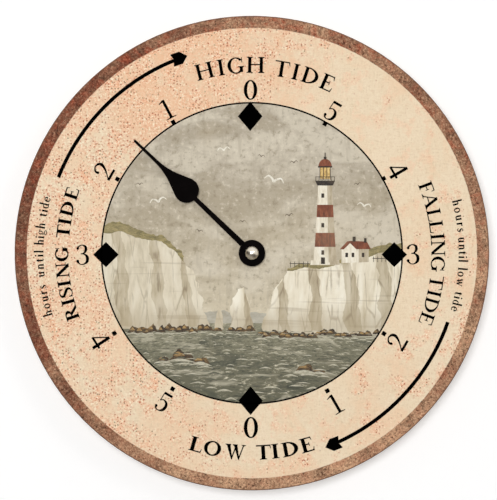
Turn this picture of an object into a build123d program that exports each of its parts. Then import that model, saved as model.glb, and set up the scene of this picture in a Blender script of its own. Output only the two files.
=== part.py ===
from build123d import *
import os
from dataclasses import dataclass
from math import cos, radians, sin

# Tide clock: a flat round wall clock with one hand that follows the tide.
# Millimetres. +X is right and +Z is up as one looks at the dial, which faces -Y.
# The wall is the plane Y = 0, and the origin is on the hand's axis.
# A depth is a distance out from the wall. A back is nearer to the wall than a front.

os.makedirs("parts", exist_ok=True)

# Driving dimensions of the dial
dial_diameter = 304.8
board_thickness = 6.35
board_edge_chamfer = 0.5
face_thickness = 0.25
face_inset = 0.6
board_hole_clearance = 0.25

# Battery, a standard AA cell, which sets the width of the movement
cell_radius = 7.1
cell_length = 49.2
cap_radius = 2.75
cap_length = 1.0
cell_clearance = 0.3
cell_recess = 0.2
cell_edge_fillet = 0.6
contact_room = 1.7

# Walls of the movement
case_corner = 4.0
side_wall = 1.2
front_wall = 1.5
partition_wall = 1.0
chamber_gap = 0.5
cover_thickness = 1.5
cover_clearance = 0.1

# Clamp stack from the case to the hand
bracket_thickness = 1.0
rubber_thickness = 1.0
rubber_radius = 8.0
brass_thickness = 0.6
brass_radius = 6.5
nut_width = 11.0
nut_height = 2.2
nut_sides = 6
nut_chamfer = 0.4
bushing_radius = 4.0
bushing_flange_radius = 5.5
bushing_flange = 0.5
bushing_past_nut = 0.7
bushing_end_chamfer = 0.3
arbor_past_bushing = 0.4

# Hand
hand_length = 104.5
hand_thickness = 0.8
hand_rest_angle = 46.2
hand_hub_radius = 8.5
hand_neck_hub_width = 3.9
hand_neck_bulb_width = 2.7
hand_bulb_radius = 8.0
hand_bulb_distance = 58.1
hand_flank_angle = 68
hand_flank_run = 8.5
hand_tail_start = 83.5
hand_tail_width = 2.3
hand_tip_width = 1.6
hand_edge_chamfer = 0.12
hand_seat_radius = 1.3
hand_seat_flat = 1.0
cap_nut_radius = 4.4
cap_nut_rim = 0.7
cap_nut_height = 3.2
cap_nut_thread_radius = 1.15
cap_nut_thread_length = 1.8

# Fits
running_gap = 0.05
pivot_gap = 0.04
seat_gap = 0.03
end_shake = 0.05
full_turn = 360
right_angle = 90

# Gear teeth: addendum, dedendum, then half widths at root, pitch and tip as shares of the pitch
pinion_tooth_shares = (0.70, 1.30, 0.22, 0.20, 0.08)
wheel_tooth_shares = (0.85, 1.20, 0.24, 0.20, 0.08)

# Hand work: set arbor pinion to intermediate wheel, and its pinion to the tide wheel
hand_work_module = 0.4
set_arbor_teeth = 10
intermediate_teeth = 30
intermediate_pinion_teeth = 8
tide_wheel_teeth = 32
intermediate_angle = -20
set_pinion_teeth = 10
set_pinion_angle = 20

# Going train from the centre wheel to the rotor
centre_module = 0.25
centre_teeth = 69
third_pinion_teeth = 10
third_angle = 120
third_module = 0.22
third_teeth = 72
second_pinion_teeth = 8
second_angle = 60
second_module = 0.25
second_teeth = 40
first_pinion_teeth = 8
first_angle = 0
rotor_module = 0.2
first_teeth = 48
rotor_pinion_teeth = 8
rotor_angle = -15

# Depths of the wheels, from the inside of the front wall back to the bearing plate
tide_wheel_gap = 0.4
tide_wheel_thickness = 1.2
tide_boss_radius = 2.6
intermediate_gap = 0.5
intermediate_thickness = 1.0
centre_gap = 0.7
centre_thickness = 0.8
third_gap = 0.8
third_thickness = 0.7
second_gap = 0.8
second_thickness = 0.6
first_gap = 0.6
first_thickness = 0.5
plate_gap = 1.0
plate_thickness = 1.2
hand_work_overhang = 0.1
train_overhang = 0.2

# Arbors and pivots
tide_arbor_radius = 1.6
set_arbor_radius = 1.0
set_arbor_front_pivot = 0.6
set_arbor_rear_pivot = 0.5
set_arbor_shoulder_radius = 1.6
clutch_hub_radius = 2.4
clutch_hub_height = 0.3
clutch_spring_radius = 2.6
clutch_spring_thickness = 0.2
clutch_spring_dish = 0.3
clutch_collar_radius = 1.5
clutch_collar_length = 0.7
train_arbor_radius = 0.5
train_pivot_radius = 0.3
set_shaft_radius = 1.2
set_shaft_pivot = 0.7
stub_post_radius = 0.75
stub_post_past_wheel = 0.3
pivot_length = 0.9
tide_pivot_length = 1.35
pivot_hole_extra = 0.3
post_end_gap = 0.2

# Stepping motor
rotor_radius = 2.8
rotor_length = 2.6
rotor_front_gap = 0.3
stator_thickness = 1.0
stator_post_height = 5.2
stator_air_gap = 0.4
stator_rim_width = 1.2
stator_strip_width = 3.2
stator_arm_width = 2.8
stator_arm_distance = 9.5
coil_gap = 3.0
core_width = 2.8
core_thickness = 1.0
bobbin_end_gap = 0.1
bobbin_flange = 0.8
bobbin_flange_width = 7.0
bobbin_wall = 0.5
winding_radius = 3.2

# Posts, screws and pegs
screw_post_radius = 1.5
screw_radius = 0.7
screw_length = 3.4
screw_head_radius = 1.4
screw_head_height = 0.8
screw_slot_width = 0.35
screw_slot_depth = 0.35
pivot_post_radius = 1.4
slim_post_radius = 0.9
peg_radius = 1.3
peg_pin_radius = 0.6
peg_pin_past_board = 0.2

# Bearing plate, with each screw beside a wheel
plate_post_gap = 0.5
plate_margin = 2.4
plate_corner = 2.0
left_screw_angle = 189
upper_screw_angle = 70
right_screw_angle = -24

# Circuit board
pcb_cover_gap = 0.7
pcb_thickness = 0.8
pcb_plate_gap = 1.2
pcb_side_gap = 1.3
pcb_edge_gap = 0.3
pcb_strip_width = 4.0
pcb_column_width = 9.5
pcb_column_top = 14.0
pcb_peg_inset = 2.0
pcb_right_peg_inset = 6.0
chip_radius = 3.0
chip_height = 1.0
chip_fillet = 0.7
chip_rise = 0.5
crystal_radius = 1.0
crystal_length = 6.0
crystal_end_fillet = 0.2
crystal_gap = 0.05

# Battery contacts
contact_thickness = 0.4
contact_width = 8.0
contact_arm_width = 2.0
contact_tab_length = 2.6
contact_tab_height = 2.0
contact_end_gap = 0.1
contact_dimple_radius = 2.2
contact_leaf_width = 5.0
contact_notch_clearance = 0.1

# Rear cover and set knob
knob_radius = 4.6
knob_thickness = 2.0
knob_recess = 0.4
knob_well_clearance = 0.4
knob_grooves = 18
knob_groove_radius = 0.35
knob_slot_width = 1.0
knob_slot_depth = 0.6
clip_width = 5.0
clip_thickness = 0.9
clip_reach = 4.0
clip_middle_height = 18.5
nib_height = 1.0
nib_reach = 0.6
ledge_width = 2.5
finger_notch_width = 16.0
finger_notch_depth = 8.0
cover_edge_chamfer = 0.3

# Hanger bracket
bracket_width = 30.0
bracket_below = 14.0
bracket_corner = 3.0
web_gap = 1.0
flange_height = 18.0
bend_radius = 1.0
keyhole_radius = 4.0
keyhole_slot_width = 3.0
keyhole_slot_rise = 6.5
keyhole_above_web = 7.0


def facing_plane(depth, centre=(0, 0)):
    """Plane that faces the viewer at a depth, with its origin over a point of the dial."""
    return Plane(origin=(centre[0], -depth, centre[1]), x_dir=(1, 0, 0), z_dir=(0, -1, 0))


def stepped_off(start, distance, angle):
    """Point at a distance and an angle from another."""
    return (start[0] + distance * cos(radians(angle)), start[1] + distance * sin(radians(angle)))


@dataclass
class Gear:
    """One ring of teeth between two depths."""

    teeth: int
    module: float
    back: float
    front: float
    shares: tuple
    centre: tuple
    phase: float = 0

    @property
    def pitch_radius(self):
        return self.teeth * self.module / 2

    @property
    def tip_radius(self):
        return self.pitch_radius + self.shares[0] * self.module

    @property
    def root_radius(self):
        return self.pitch_radius - self.shares[1] * self.module

    @property
    def thickness(self):
        return self.front - self.back

    def mesh_with(self, other, angle):
        """Turns this gear so that a gap meets the tooth of the other gear, seen at an angle from it."""
        other_pitch = full_turn / other.teeth
        own_pitch = full_turn / self.teeth
        other_share = (other.phase - angle) / other_pitch
        self.phase = angle + full_turn / 2 + own_pitch / 2 - other_share * own_pitch

    def outline(self):
        """Corners of the toothed outline about the gear's own centre."""
        root_half, pitch_half, tip_half = self.shares[2:]
        tooth = (
            (self.root_radius, -root_half),
            (self.pitch_radius, -pitch_half),
            (self.tip_radius, -tip_half),
            (self.tip_radius, tip_half),
            (self.pitch_radius, pitch_half),
            (self.root_radius, root_half),
        )
        points = []
        for number in range(self.teeth):
            for radius, share in tooth:
                angle = radians(self.phase + (number + share) * full_turn / self.teeth)
                points.append((radius * cos(angle), radius * sin(angle)))
        return points

    def face(self):
        """Toothed face at the gear's back."""
        with BuildSketch(facing_plane(self.back, self.centre)) as toothed:
            with BuildLine():
                Polyline(self.outline(), close=True)
            make_face()
        return toothed.sketch


def mesh_distance(teeth, other_teeth, module):
    """Distance between the axes of two gears."""
    return (teeth + other_teeth) * module / 2


# Distances between the axes that are in mesh
intermediate_distance = mesh_distance(set_arbor_teeth, intermediate_teeth, hand_work_module)
set_pinion_distance = mesh_distance(intermediate_teeth, set_pinion_teeth, hand_work_module)
third_distance = mesh_distance(centre_teeth, third_pinion_teeth, centre_module)
second_distance = mesh_distance(third_teeth, second_pinion_teeth, third_module)
first_distance = mesh_distance(second_teeth, first_pinion_teeth, second_module)
rotor_distance = mesh_distance(first_teeth, rotor_pinion_teeth, rotor_module)

# Axes of the wheels, in the plane of the dial
hand_axis = (0, 0)
intermediate_axis = stepped_off(hand_axis, intermediate_distance, intermediate_angle)
set_pinion_axis = stepped_off(intermediate_axis, set_pinion_distance, set_pinion_angle)
third_axis = stepped_off(hand_axis, third_distance, third_angle)
second_axis = stepped_off(third_axis, second_distance, second_angle)
first_axis = stepped_off(second_axis, first_distance, first_angle)
rotor_axis = stepped_off(first_axis, rotor_distance, rotor_angle)

# Places of the stepping motor
stator_hole_radius = rotor_radius + stator_air_gap
stator_rim_radius = stator_hole_radius + stator_rim_width
coil_offset = stator_rim_radius + coil_gap + winding_radius
coil_axis = (rotor_axis[0] + coil_offset, rotor_axis[1])
stator_half_height = stator_arm_distance + stator_arm_width / 2
stator_screw_places = (
    (coil_axis[0], coil_axis[1] - stator_arm_distance),
    (coil_axis[0], coil_axis[1] + stator_arm_distance),
)

# Depths from the wall to the bearing plate
pcb_back = cover_thickness + pcb_cover_gap
pcb_front = pcb_back + pcb_thickness
plate_room = pcb_front + pcb_plate_gap

# The case is as deep as the wheels or the battery need
train_room = (
    plate_room
    + plate_thickness
    + plate_gap
    + first_thickness
    + first_gap
    + second_thickness
    + second_gap
    + third_thickness
    + third_gap
    + centre_thickness
    + centre_gap
    + intermediate_thickness
    + intermediate_gap
    + tide_wheel_thickness
    + tide_wheel_gap
)
bay_width = (cell_radius + cell_clearance) * 2
inner_front = max(train_room, cell_recess + bay_width)
case_depth = inner_front + front_wall

# Depths of the wheel layers, from the front wall back
tide_wheel_front = inner_front - tide_wheel_gap
tide_wheel_back = tide_wheel_front - tide_wheel_thickness
intermediate_front = tide_wheel_back - intermediate_gap
intermediate_back = intermediate_front - intermediate_thickness
centre_front = intermediate_back - centre_gap
centre_back = centre_front - centre_thickness
third_front = centre_back - third_gap
third_back = third_front - third_thickness
second_front = third_back - second_gap
second_back = second_front - second_thickness
first_front = second_back - first_gap
first_back = first_front - first_thickness
plate_front = first_back - plate_gap
plate_back = plate_front - plate_thickness

# Rings of teeth
set_arbor_gear = Gear(
    set_arbor_teeth,
    hand_work_module,
    intermediate_back - hand_work_overhang,
    intermediate_front + hand_work_overhang,
    pinion_tooth_shares,
    hand_axis,
)
intermediate_gear = Gear(
    intermediate_teeth,
    hand_work_module,
    intermediate_back,
    intermediate_front,
    wheel_tooth_shares,
    intermediate_axis,
)
intermediate_pinion = Gear(
    intermediate_pinion_teeth,
    hand_work_module,
    tide_wheel_back - hand_work_overhang,
    tide_wheel_front + hand_work_overhang,
    pinion_tooth_shares,
    intermediate_axis,
)
tide_gear = Gear(
    tide_wheel_teeth,
    hand_work_module,
    tide_wheel_back,
    tide_wheel_front,
    wheel_tooth_shares,
    hand_axis,
)
set_pinion_gear = Gear(
    set_pinion_teeth,
    hand_work_module,
    intermediate_back - hand_work_overhang,
    intermediate_front + hand_work_overhang,
    pinion_tooth_shares,
    set_pinion_axis,
)
centre_gear = Gear(centre_teeth, centre_module, centre_back, centre_front, wheel_tooth_shares, hand_axis)
third_pinion = Gear(
    third_pinion_teeth,
    centre_module,
    centre_back - train_overhang,
    centre_front + train_overhang,
    pinion_tooth_shares,
    third_axis,
)
third_gear = Gear(third_teeth, third_module, third_back, third_front, wheel_tooth_shares, third_axis)
second_pinion = Gear(
    second_pinion_teeth,
    third_module,
    third_back - train_overhang,
    third_front + train_overhang,
    pinion_tooth_shares,
    second_axis,
)
second_gear = Gear(second_teeth, second_module, second_back, second_front, wheel_tooth_shares, second_axis)
first_pinion = Gear(
    first_pinion_teeth,
    second_module,
    second_back - train_overhang,
    second_front + train_overhang,
    pinion_tooth_shares,
    first_axis,
)
first_gear = Gear(first_teeth, rotor_module, first_back, first_front, wheel_tooth_shares, first_axis)
rotor_gear = Gear(
    rotor_pinion_teeth,
    rotor_module,
    first_back - train_overhang,
    first_front + train_overhang,
    pinion_tooth_shares,
    rotor_axis,
)
intermediate_gear.mesh_with(set_arbor_gear, intermediate_angle)
set_pinion_gear.mesh_with(intermediate_gear, set_pinion_angle)
tide_gear.mesh_with(intermediate_pinion, intermediate_angle + full_turn / 2)
third_pinion.mesh_with(centre_gear, third_angle)
second_pinion.mesh_with(third_gear, second_angle)
first_pinion.mesh_with(second_gear, first_angle)
rotor_gear.mesh_with(first_gear, rotor_angle)

# The case is as wide as the battery, the coil, the stator or the wheels above the bay need
cell_room = (cell_length + cap_length) / 2 + contact_room
coil_room = coil_axis[0] + bobbin_flange_width / 2 + clip_thickness + chamber_gap
stator_room = coil_axis[1] + stator_half_height + chamber_gap
wheel_room = bay_width + partition_wall + chamber_gap + intermediate_gear.tip_radius - intermediate_axis[1]
inner_half = max(cell_room, coil_room, stator_room, wheel_room)
case_width = (inner_half + side_wall) * 2

# Heights and depth of the battery bay
bay_top_height = bay_width - inner_half
chamber_floor_height = bay_top_height + partition_wall
cell_height = bay_top_height - cell_clearance - cell_radius
cell_depth = inner_front - cell_clearance - cell_radius

# Depths of the clamp stack
bracket_front = case_depth + bracket_thickness
board_back = bracket_front + rubber_thickness
board_front = board_back + board_thickness
face_front = board_front + face_thickness
brass_front = face_front + brass_thickness
nut_front = brass_front + nut_height
bushing_front = nut_front + bushing_past_nut
hand_back = bushing_front + arbor_past_bushing
hand_front = hand_back + hand_thickness
bushing_bore = tide_arbor_radius + running_gap

# Depths of the stepping motor
stator_front = inner_front - stator_post_height
stator_back = stator_front - stator_thickness
core_back = stator_back - core_thickness
rotor_front = (stator_front + stator_back + rotor_length) / 2
rotor_back = rotor_front - rotor_length

# Screws of the bearing plate, each clear of the wheel beside it
post_reach = screw_post_radius + plate_post_gap
left_screw = stepped_off(hand_axis, centre_gear.tip_radius + post_reach, left_screw_angle)
upper_screw = stepped_off(second_axis, second_gear.tip_radius + post_reach, upper_screw_angle)
right_screw = stepped_off(intermediate_axis, intermediate_gear.tip_radius + post_reach, right_screw_angle)
plate_screw_places = (left_screw, upper_screw, right_screw)
plate_left = left_screw[0] - plate_margin
plate_right = max(right_screw[0], set_pinion_axis[0]) + plate_margin
plate_bottom = right_screw[1] - plate_margin
plate_top = upper_screw[1] + plate_margin

# Plane of the hand, with its X axis along the hand at rest
hand_direction = radians(right_angle + hand_rest_angle)
hand_plane = Plane(
    origin=(0, -hand_back, 0),
    x_dir=(cos(hand_direction), 0, sin(hand_direction)),
    z_dir=(0, -1, 0),
)

# Posts that carry a front pivot: place, radius, depth of the post's end, radius of the pivot
pivot_posts = (
    (third_axis, pivot_post_radius, third_pinion.front + post_end_gap, train_pivot_radius),
    (second_axis, pivot_post_radius, second_pinion.front + post_end_gap, train_pivot_radius),
    (first_axis, slim_post_radius, first_pinion.front + post_end_gap, train_pivot_radius),
    (rotor_axis, pivot_post_radius, rotor_front + rotor_front_gap, train_pivot_radius),
    (set_pinion_axis, pivot_post_radius, set_pinion_gear.front + post_end_gap, set_shaft_pivot),
)

# Places of the circuit board and its pegs
pcb_half_length = inner_half - pcb_side_gap
pcb_bottom = chamber_floor_height + pcb_edge_gap
pcb_column_middle = -pcb_half_length + pcb_column_width / 2
peg_places = (
    (pcb_column_middle, pcb_bottom + pcb_peg_inset),
    (pcb_column_middle, pcb_column_top - pcb_peg_inset),
    (pcb_half_length - pcb_right_peg_inset, pcb_bottom + pcb_peg_inset),
)


# Board: a round wood-composite disc with a hole for the bushing
with BuildPart() as clock_board:
    with BuildSketch(facing_plane(board_back)):
        Circle(dial_diameter / 2)
        Circle(bushing_radius + board_hole_clearance, mode=Mode.SUBTRACT)
    extrude(amount=board_thickness)
    chamfer(clock_board.edges().filter_by(GeomType.CIRCLE).group_by(SortBy.RADIUS)[-1], board_edge_chamfer)
clock_board.part.label = "clock_board"

# Printed sheet glued on the front of the board
with BuildPart() as printed_face:
    with BuildSketch(facing_plane(board_front)):
        Circle(dial_diameter / 2 - face_inset)
        Circle(bushing_radius + board_hole_clearance, mode=Mode.SUBTRACT)
    extrude(amount=face_thickness)
printed_face.part.label = "printed_face"


# Case: a tray open at the rear, with the battery bay under a partition
with BuildPart() as movement_case:
    with BuildSketch(facing_plane(0)):
        RectangleRounded(case_width, case_width, case_corner)
    extrude(amount=case_depth)
    with BuildSketch(facing_plane(0)):
        RectangleRounded(inner_half * 2, inner_half * 2, case_corner - side_wall)
    extrude(amount=inner_front, mode=Mode.SUBTRACT)

    # Partition between the wheels and the battery, with a notch at each end for a contact
    partition_height = bay_top_height + partition_wall / 2
    with BuildSketch(facing_plane(cover_thickness, (0, partition_height))):
        Rectangle(inner_half * 2, partition_wall)
    extrude(amount=inner_front - cover_thickness)
    notch_width = contact_thickness + contact_notch_clearance
    for side in (-1, 1):
        notch_centre = (side * (inner_half - notch_width / 2), partition_height)
        with BuildSketch(facing_plane(cover_thickness, notch_centre)):
            Rectangle(notch_width, partition_wall)
        notch_front = pcb_front + contact_arm_width + contact_notch_clearance
        extrude(amount=notch_front - cover_thickness, mode=Mode.SUBTRACT)

    # Posts that carry the front pivots
    for centre, radius, end, pivot in pivot_posts:
        with BuildSketch(facing_plane(end, centre)):
            Circle(radius)
        extrude(amount=inner_front - end)
        with BuildSketch(facing_plane(end, centre)):
            Circle(pivot + pivot_gap)
        extrude(amount=pivot_length + pivot_hole_extra, mode=Mode.SUBTRACT)

    # Stub post on which the intermediate wheel turns
    with BuildSketch(facing_plane(intermediate_back - stub_post_past_wheel, intermediate_axis)):
        Circle(stub_post_radius)
    extrude(amount=inner_front - intermediate_back + stub_post_past_wheel)

    # Screw posts of the bearing plate and the stator
    post_ends = [(centre, plate_front) for centre in plate_screw_places]
    post_ends += [(centre, stator_front) for centre in stator_screw_places]
    for centre, end in post_ends:
        with BuildSketch(facing_plane(end, centre)):
            Circle(screw_post_radius)
            Circle(screw_radius + seat_gap, mode=Mode.SUBTRACT)
        extrude(amount=inner_front - end)

    # Pegs that hold the circuit board
    for centre in peg_places:
        with BuildSketch(facing_plane(pcb_front, centre)):
            Circle(peg_radius)
        extrude(amount=inner_front - pcb_front)
        with BuildSketch(facing_plane(pcb_back - peg_pin_past_board, centre)):
            Circle(peg_pin_radius)
        extrude(amount=pcb_thickness + peg_pin_past_board)

    # Ledges in the upper corners that carry the rear cover
    for side in (-1, 1):
        ledge_centre = (side * (inner_half - ledge_width / 2), inner_half - ledge_width / 2)
        with BuildSketch(facing_plane(cover_thickness, ledge_centre)):
            Rectangle(ledge_width, ledge_width)
        extrude(amount=inner_front - cover_thickness)

    # Windows in the side walls for the clips of the rear cover
    for side in (-1, 1):
        window_centre = (side * (case_width - side_wall) / 2, clip_middle_height)
        with BuildSketch(facing_plane(cover_thickness + clip_reach - nib_height - seat_gap, window_centre)):
            Rectangle(side_wall, clip_width + seat_gap * 2)
        extrude(amount=nib_height + seat_gap * 2, mode=Mode.SUBTRACT)

    # Notch in the bottom wall for a finger under the battery
    with BuildSketch(facing_plane(0, (0, -(case_width - side_wall) / 2))):
        Rectangle(finger_notch_width, side_wall)
    extrude(amount=finger_notch_depth, mode=Mode.SUBTRACT)

    # Hole for the bushing, with a recess for its flange
    with BuildSketch(facing_plane(inner_front)):
        Circle(bushing_radius + seat_gap)
    extrude(amount=front_wall, mode=Mode.SUBTRACT)
    with BuildSketch(facing_plane(inner_front)):
        Circle(bushing_flange_radius + seat_gap)
    extrude(amount=bushing_flange, mode=Mode.SUBTRACT)
movement_case.part.label = "movement_case"


# Rear cover: a plate inside the case walls, flush with their edge, with a well for the knob
cover_half = inner_half - cover_clearance
cover_bottom = bay_top_height
with BuildPart() as rear_cover:
    with BuildSketch(facing_plane(0, (0, (cover_half + cover_bottom) / 2))):
        Rectangle(cover_half * 2, cover_half - cover_bottom)
    extrude(amount=cover_thickness)
    upper_corners = rear_cover.edges().filter_by(Axis.Y).group_by(Axis.Z)[-1]
    fillet(upper_corners, case_corner - side_wall - cover_clearance)
    chamfer(rear_cover.faces().sort_by(Axis.Y)[-1].edges(), cover_edge_chamfer)
    with BuildSketch(facing_plane(0, set_pinion_axis)):
        Circle(knob_radius + knob_well_clearance)
    extrude(amount=cover_thickness, mode=Mode.SUBTRACT)
    for side in (-1, 1):
        clip_centre = (side * (cover_half - clip_thickness / 2), clip_middle_height)
        with BuildSketch(facing_plane(cover_thickness, clip_centre)):
            Rectangle(clip_thickness, clip_width)
        extrude(amount=clip_reach)
        nib_centre = (side * (cover_half + nib_reach / 2), clip_middle_height)
        with BuildSketch(facing_plane(cover_thickness + clip_reach - nib_height, nib_centre)):
            Rectangle(nib_reach, clip_width)
        extrude(amount=nib_height)
rear_cover.part.label = "rear_cover"


# Bearing plate: holds the rear pivots, screwed on three posts
rear_pivots = (
    (hand_axis, set_arbor_rear_pivot),
    (third_axis, train_pivot_radius),
    (second_axis, train_pivot_radius),
    (first_axis, train_pivot_radius),
    (rotor_axis, train_pivot_radius),
    (set_pinion_axis, set_shaft_radius),
)
with BuildPart() as bearing_plate:
    plate_centre = ((plate_right + plate_left) / 2, (plate_top + plate_bottom) / 2)
    with BuildSketch(facing_plane(plate_back, plate_centre)):
        RectangleRounded(plate_right - plate_left, plate_top - plate_bottom, plate_corner)
    extrude(amount=plate_thickness)
    for centre, radius in rear_pivots:
        with BuildSketch(facing_plane(plate_back, centre)):
            Circle(radius + pivot_gap)
        extrude(amount=plate_thickness, mode=Mode.SUBTRACT)
    for centre in plate_screw_places:
        with BuildSketch(facing_plane(plate_back, centre)):
            Circle(screw_radius + seat_gap)
        extrude(amount=plate_thickness, mode=Mode.SUBTRACT)
bearing_plate.part.label = "bearing_plate"


def make_screws(places, seat):
    """Slotted screws with their heads on a seat at a depth, all in one part."""
    with BuildPart() as screws:
        for centre in places:
            with BuildSketch(facing_plane(seat, centre)):
                Circle(screw_radius)
            extrude(amount=screw_length)
            with BuildSketch(facing_plane(seat - screw_head_height, centre)):
                Circle(screw_head_radius)
            extrude(amount=screw_head_height)
            with BuildSketch(facing_plane(seat - screw_head_height, centre)):
                Rectangle(screw_head_radius * 2, screw_slot_width)
            extrude(amount=screw_slot_depth, mode=Mode.SUBTRACT)
    return screws


bearing_plate_screws = make_screws(plate_screw_places, plate_back)
bearing_plate_screws.part.label = "bearing_plate_screws"
stator_screws = make_screws(stator_screw_places, core_back)
stator_screws.part.label = "stator_screws"


# Stator: a C-shaped iron plate round the rotor
with BuildPart() as stator:
    with BuildSketch(facing_plane(stator_back, rotor_axis)):
        Rectangle(stator_strip_width, stator_half_height * 2)
        Circle(stator_rim_radius)
        arm_length = coil_offset + (stator_strip_width + stator_arm_width) / 2
        arm_middle = (arm_length - stator_strip_width) / 2
        with Locations((arm_middle, stator_arm_distance), (arm_middle, -stator_arm_distance)):
            Rectangle(arm_length, stator_arm_width)
        Circle(stator_hole_radius, mode=Mode.SUBTRACT)
        with Locations((coil_offset, stator_arm_distance), (coil_offset, -stator_arm_distance)):
            Circle(screw_radius + seat_gap, mode=Mode.SUBTRACT)
    extrude(amount=stator_thickness)
stator.part.label = "stator"

# Core: an iron strip through the bobbin, screwed on the arms of the stator
with BuildPart() as coil_core:
    with BuildSketch(facing_plane(core_back, coil_axis)):
        Rectangle(core_width, stator_half_height * 2)
        with Locations((0, stator_arm_distance), (0, -stator_arm_distance)):
            Circle(screw_radius + seat_gap, mode=Mode.SUBTRACT)
    extrude(amount=core_thickness)
coil_core.part.label = "coil_core"

# Bobbin: a rectangular tube with two flanges
coil_depth = core_back + core_thickness / 2
bobbin_length = (stator_arm_distance - stator_arm_width / 2 - bobbin_end_gap) * 2
bobbin_bottom = coil_axis[1] - bobbin_length / 2
bobbin_plane = Plane(origin=(coil_axis[0], -coil_depth, bobbin_bottom), z_dir=(0, 0, 1))
tube_width = core_width + (bobbin_wall + seat_gap) * 2
tube_thickness = core_thickness + (bobbin_wall + seat_gap) * 2
with BuildPart() as coil_bobbin:
    with BuildSketch(bobbin_plane):
        Rectangle(tube_width, tube_thickness)
    extrude(amount=bobbin_length)
    with BuildSketch(bobbin_plane, bobbin_plane.offset(bobbin_length - bobbin_flange)):
        Rectangle(bobbin_flange_width, bobbin_flange_width)
    extrude(amount=bobbin_flange)
    with BuildSketch(bobbin_plane):
        Rectangle(core_width + seat_gap * 2, core_thickness + seat_gap * 2)
    extrude(amount=bobbin_length, mode=Mode.SUBTRACT)
coil_bobbin.part.label = "coil_bobbin"

# Winding: fine copper wire on the bobbin, as one body of its outer shape
with BuildPart() as coil_winding:
    with BuildSketch(bobbin_plane.offset(bobbin_flange)):
        Circle(winding_radius)
        Rectangle(tube_width, tube_thickness, mode=Mode.SUBTRACT)
    extrude(amount=bobbin_length - bobbin_flange * 2)
coil_winding.part.label = "coil_winding"


def make_turned(centre, steps):
    """Turned arbor: each step is a radius and the depths between which it runs."""
    with BuildPart() as turned:
        for radius, back, front in steps:
            with BuildSketch(facing_plane(back, centre)):
                Circle(radius)
            extrude(amount=front - back)
    return turned.part


def train_arbor_steps(front_end):
    """Steps of an arbor between the bearing plate and the post that ends at a depth."""
    return (
        (train_pivot_radius, plate_front - pivot_length, plate_front + end_shake),
        (train_arbor_radius, plate_front + end_shake, front_end - end_shake),
        (train_pivot_radius, front_end - end_shake, front_end + pivot_length),
    )


def make_train_wheel(gears, front_end):
    """Wheel and pinion moulded on one arbor."""
    arbor = make_turned(gears[0].centre, train_arbor_steps(front_end))
    with BuildPart() as train_wheel:
        add(arbor)
        for gear in gears:
            extrude(gear.face(), amount=gear.thickness)
    return train_wheel


# Rotor: a magnet on an arbor with a pinion
rotor_post_end = rotor_front + rotor_front_gap
rotor_pinion = make_train_wheel([rotor_gear], rotor_post_end)
rotor_pinion.part.label = "rotor_pinion"
with BuildPart() as rotor_magnet:
    with BuildSketch(facing_plane(rotor_back, rotor_axis)):
        Circle(rotor_radius)
        Circle(train_arbor_radius, mode=Mode.SUBTRACT)
    extrude(amount=rotor_length)
rotor_magnet.part.label = "rotor_magnet"

# Wheels of the going train
first_reduction_wheel = make_train_wheel([first_gear, first_pinion], first_pinion.front + post_end_gap)
first_reduction_wheel.part.label = "first_reduction_wheel"
second_reduction_wheel = make_train_wheel([second_gear, second_pinion], second_pinion.front + post_end_gap)
second_reduction_wheel.part.label = "second_reduction_wheel"
third_reduction_wheel = make_train_wheel([third_gear, third_pinion], third_pinion.front + post_end_gap)
third_reduction_wheel.part.label = "third_reduction_wheel"

# Centre wheel: loose on the set arbor, which it drives by friction
with BuildPart() as centre_wheel:
    extrude(centre_gear.face(), amount=centre_gear.thickness)
    with BuildSketch(facing_plane(centre_front)):
        Circle(clutch_hub_radius)
    extrude(amount=clutch_hub_height)
    with BuildSketch(facing_plane(centre_back)):
        Circle(set_arbor_radius + running_gap)
    extrude(amount=centre_thickness + clutch_hub_height, mode=Mode.SUBTRACT)
centre_wheel.part.label = "centre_wheel"

# Set arbor: pinion, shoulder and collar that hold the centre wheel and the clutch spring
clutch_shoulder_back = centre_front + clutch_hub_height + end_shake
clutch_spring_front = centre_back - end_shake
clutch_spring_back = clutch_spring_front - clutch_spring_thickness - clutch_spring_dish
front_pivot_end = set_arbor_gear.front + tide_pivot_length
set_arbor_steps = (
    (set_arbor_rear_pivot, plate_front - pivot_length, plate_front + end_shake),
    (set_arbor_radius, plate_front + end_shake, set_arbor_gear.front),
    (clutch_collar_radius, clutch_spring_back - clutch_collar_length, clutch_spring_back),
    (set_arbor_shoulder_radius, clutch_shoulder_back, set_arbor_gear.back),
    (set_arbor_front_pivot, set_arbor_gear.front, front_pivot_end),
)
set_arbor_shaft = make_turned(hand_axis, set_arbor_steps)
with BuildPart() as set_arbor:
    add(set_arbor_shaft)
    extrude(set_arbor_gear.face(), amount=set_arbor_gear.thickness)
set_arbor.part.label = "set_arbor"

# Clutch spring: a dished washer between the collar and the centre wheel
with BuildPart() as clutch_spring:
    with BuildSketch(Plane.XY):
        with BuildLine():
            Polyline(
                (set_arbor_radius + seat_gap, -clutch_spring_back),
                (clutch_spring_radius, -clutch_spring_front + clutch_spring_thickness),
                (clutch_spring_radius, -clutch_spring_front),
                (set_arbor_radius + seat_gap, -clutch_spring_back - clutch_spring_thickness),
                close=True,
            )
        make_face()
    revolve(axis=Axis.Y)
clutch_spring.part.label = "clutch_spring"

# Intermediate wheel and its pinion, with a bore for the stub post
with BuildPart() as intermediate_wheel:
    extrude(intermediate_gear.face(), amount=intermediate_gear.thickness)
    extrude(intermediate_pinion.face(), amount=intermediate_pinion.thickness)
    with BuildSketch(facing_plane(intermediate_front, intermediate_axis)):
        Circle(intermediate_pinion.root_radius)
    extrude(amount=intermediate_gap)
    with BuildSketch(facing_plane(intermediate_back, intermediate_axis)):
        Circle(stub_post_radius + running_gap)
    extrude(amount=intermediate_pinion.front - intermediate_back, mode=Mode.SUBTRACT)
intermediate_wheel.part.label = "intermediate_wheel"

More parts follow.
